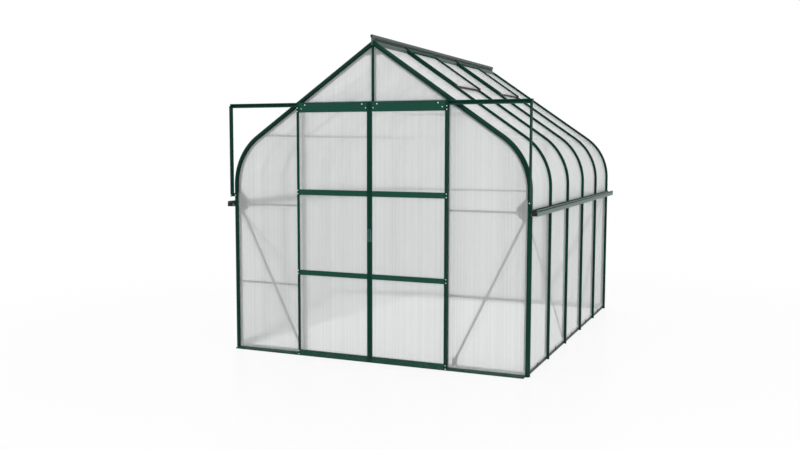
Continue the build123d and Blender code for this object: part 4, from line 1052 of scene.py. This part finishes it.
@dataclass
class GutterShadeTrim(Fitting):
    """Painted shade: a black bead and a green strip in the recess of each gutter's face, and a dark
    upstand on its rear wall, dark pieces where those parts lie in shade.
    """

    recess: Span = (0.0477, 0.0512)
    shade_bead_height: Span = (1.2267, 1.2298)
    shade_strip_height: Span = (1.2298, 1.2378)
    rear_wall: Span = (0.0015, 0.0040)
    shade_upstand_height: Span = (1.2201, 1.2430)
    reach: float = 1.5694
    rounding: float = 0.0006

    def build(self) -> None:
        """Makes a bead, a strip and an upstand for each side."""
        # Painted shade: dark pieces where the recess and the rear edge of the gutter lie in shade.
        rows = (
            ("bead", self.recess, self.shade_bead_height, "seal_rubber", "dark_clip"),
            ("strip", self.recess, self.shade_strip_height, "green_coat", "green_aluminium"),
            ("upstand", self.rear_wall, self.shade_upstand_height, "clip_plastic", "dark_clip"),
        )
        for side in Side:
            for label, outs, height, finish, slot in rows:
                across = spread(side.value, *(SHELL.half_width + out for out in outs))
                form = bmesh.new()
                self.maker.box(form, (across, (-self.reach, self.reach), height), self.rounding)
                name = "%s_gutter_%s" % (side.name.lower(), label)
                self.maker.add(form, name, finish, "frame", slot)


@dataclass
class StrutBolts(Fitting):
    """Domed heads on dark washers at the feet of the track's struts and on the rear posts."""

    strut_out: float = 1.270
    strut_face: float = -1.602
    strut_height: float = 1.295
    post_middle: float = 1.535
    post_height: float = 1.305
    sides: int = 20
    washer_outline: Outline = (
        (0.0, -0.0012), (0.0050, -0.0012), (0.0056, -0.0006), (0.0056, 0.0), (0.0, 0.0),
    )
    head_outline: Outline = (
        (0.0, -0.0046), (0.0018, -0.0043), (0.0032, -0.0034), (0.0042, -0.0018), (0.0042, -0.0010),
        (0.0, -0.0010),
    )

    def build(self) -> None:
        """Makes the washers and the heads."""
        rows = (
            (self.washer_outline, "strut_washers", "seal_rubber", "dark_clip"),
            (self.head_outline, "strut_bolt_heads", "plated_fixing", "zinc_fixings"),
        )
        for outline, name, finish, slot in rows:
            form = bmesh.new()
            for side in Side:
                strut = (side.value * self.strut_out, self.strut_face, self.strut_height)
                self.maker.turned(form, strut, outline, self.sides)
                post = (side.value * SHELL.half_width, self.post_middle, self.post_height)
                verts = self.maker.turned(form, post, outline, self.sides)
                outwards = Matrix.Rotation(side.value * math.pi / 2, 3, "Z")
                bmesh.ops.rotate(form, verts=verts, cent=post, matrix=outwards)
            self.maker.add(form, name, finish, "frame", slot)


@dataclass
class Studio:
    """The floor, the light and the camera, with its tilt and turn in degrees and its roll in radians."""

    floor_size: float = 60.0
    floor_colour: Colour = (0.92, 0.92, 0.92)
    floor_roughness: float = 0.3
    shadow_share: float = 0.16
    shadow_reach: Span = (2.5, 6.0)
    fill: float = 0.72
    background: float = 1.0
    lamp_target: Point = (0.0, 0.0, 1.2)
    lamps: tuple[tuple[str, Point, float, float], ...] = (
        ("front_lamp", (2.6, -10.0, 3.4), 4.0, 190.0),
        ("side_lamp", (9.0, -5.5, 4.2), 4.0, 260.0),
        ("rear_lamp", (-7.0, 7.0, 6.0), 5.0, 260.0),
    )
    camera_place: Point = (2.92668, -7.88779, 1.71337)
    camera_tilt: float = 5.129
    camera_roll: float = -0.002
    camera_turn: float = 23.0227
    lens: float = 40.2243
    sensor_width: float = 36.0
    clear_bounces: int = 32

    def build(self) -> None:
        """Sets up the scene around the object."""
        self._camera()
        self._world()
        self._lamps()
        self._floor()
        bpy.context.scene.view_settings.view_transform = "Standard"
        bpy.context.scene.cycles.transparent_max_bounces = self.clear_bounces
        LOG.info("studio ready")

    def _camera(self) -> None:
        """Places the camera of the photograph."""
        data = bpy.data.cameras.new("camera")
        data.lens = self.lens
        data.sensor_width = self.sensor_width
        made = bpy.data.objects.new("camera", data)
        bpy.context.collection.objects.link(made)
        made.location = self.camera_place
        tilt, turn = math.radians(90 - self.camera_tilt), math.radians(self.camera_turn)
        made.rotation_euler = (tilt, self.camera_roll, turn)
        bpy.context.scene.camera = made

    @staticmethod
    def _seen(graph: Graph) -> Socket:
        """A mask of the rays that look at the background.

        Args:
            graph: The graph to place it in.

        Returns:
            The mask's socket.
        """
        path = graph.node("ShaderNodeLightPath").outputs
        first = graph.maths("MAXIMUM", path["Is Camera Ray"], path["Is Glossy Ray"])
        return graph.maths("MAXIMUM", first, path["Is Transmission Ray"])

    def _world(self) -> None:
        """Makes an even grey light with a white look."""
        world = bpy.data.worlds.new("studio")
        bpy.context.scene.world = world
        world.use_nodes = True
        graph = Graph(world.node_tree)
        level = graph.node("ShaderNodeMix", data_type="FLOAT")
        graph.fed(level, self._seen(graph), A=self.fill, B=self.background)
        graph.fed(world.node_tree.nodes["Background"], shade(WHITE), Strength=level.outputs[0])

    def _lamps(self) -> None:
        """Places the soft lamps around the object."""
        for name, place, size, power in self.lamps:
            data = bpy.data.lights.new(name, "AREA")
            data.energy = power
            data.size = size
            made = bpy.data.objects.new(name, data)
            bpy.context.collection.objects.link(made)
            made.location = place
            made.visible_glossy = False
            way = Vector(self.lamp_target) - Vector(place)
            made.rotation_euler = way.to_track_quat("-Z", "Y").to_euler()

    def _floor(self) -> None:
        """Lays a white floor that keeps a soft shadow."""
        form = bmesh.new()
        bmesh.ops.create_grid(form, x_segments=1, y_segments=1, size=self.floor_size / 2)
        mesh = bpy.data.meshes.new("floor")
        form.to_mesh(mesh)
        form.free()
        material = bpy.data.materials.new("studio_floor")
        material.use_nodes = True
        graph = Graph(material.node_tree)
        principled = material.node_tree.nodes["Principled BSDF"]
        graph.fed(principled, shade(self.floor_colour), Roughness=self.floor_roughness)
        away = graph.node("ShaderNodeVectorMath", operation="LENGTH")
        graph.fed(away, graph.node("ShaderNodeTexCoord").outputs["Object"])
        open_floor = graph.ramp(away.outputs["Value"], *self.shadow_reach)
        lit = graph.maths("MULTIPLY", open_floor, self.shadow_share)
        plain = graph.maths("ADD", lit, 1.0 - self.shadow_share)
        white = graph.node("ShaderNodeEmission")
        seen = graph.maths("MULTIPLY", self._seen(graph), plain)
        surface = graph.joined(seen, principled.outputs[0], white.outputs[0])
        graph.fed(material.node_tree.nodes["Material Output"], Surface=surface)
        mesh.materials.append(material)
        floor = bpy.data.objects.new("floor", mesh)
        bpy.context.collection.objects.link(floor)
        floor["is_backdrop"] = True


class FrameDress:
    """The finishes of the frame's own nodes, by the endings of their names or else by their slots."""

    endings: dict[str, str] = {
        "_gutter": "pale_green_coat",
        "ridge_bar": "ridge_coat",
        "front_sill": "end_sill_coat",
        "rear_sill": "end_sill_coat",
        "_sill": "side_sill_coat",
        "_post": "post_coat",
        "_gable_bars": "gable_bar_coat",
        "_side_bars": "wall_bar_coat",
        "_roof_bars": "deep_green_coat",
        "_bow": "deep_green_coat",
        "_stiles": "deep_green_coat",
        "_struts": "deep_green_coat",
        "_vent_frame": "vent_coat",
        "_ties": "tie_strip",
        "side_braces": "dark_strip",
        "_gable_panes": "gable_sheet",
        "_door_panes": "gable_sheet",
        "_side_panes": "wall_sheet",
        "_eaves_panes": "eaves_sheet",
    }
    slot_finishes: dict[str, str] = {
        "green_aluminium": "green_coat",
        "bracing_strip": "mill_strip",
        "twin_wall_sheet": "roof_sheet",
        "roller_plastic": "wheel_plastic",
        "zinc_fixings": "plated_fixing",
        "handle_plastic": "handle_plastic",
        "dark_clip": "clip_plastic",
    }

    def dress(self, book: FinishBook) -> None:
        """Gives every node its material.

        Args:
            book: Where materials come from.
        """
        slots = {row["node"]: row["material_slot"] for row in frame["record"]["subparts"]}
        for name, node in frame["nodes"].items():
            finish = self._finish(name, slots[name])
            node.data.materials.clear()
            node.data.materials.append(book[finish])
            LOG.info("node %s: %s", name, finish)

    def _finish(self, name: str, slot: str) -> str:
        """Chooses a node's finish.

        Args:
            name: The node's name.
            slot: Its slot in the record.

        Returns:
            The finish's name.
        """
        for ending, finish in self.endings.items():
            if name.endswith(ending):
                return finish
        return self.slot_finishes[slot]


def main() -> None:
    """Dresses the frame, adds the fittings and sets up the studio."""
    logging.basicConfig(level=logging.INFO, format="%(message)s")
    book = FinishBook()
    maker = Maker(book)
    FrameDress().dress(book)
    doors = [DoorLeaf(maker, side) for side in Side]
    for fitting in (GlazingSealsAndShade(maker), *doors, EndCaps(maker), GutterShadeTrim(maker), StrutBolts(maker)):
        fitting.build()
    Studio().build()
    boxes = [[list(map(float, corner)) for corner in box] for box in (CAD_BOX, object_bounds())]
    {"cad": boxes[0], "visual": boxes[1]}


if __name__ == "__main__":
    main()
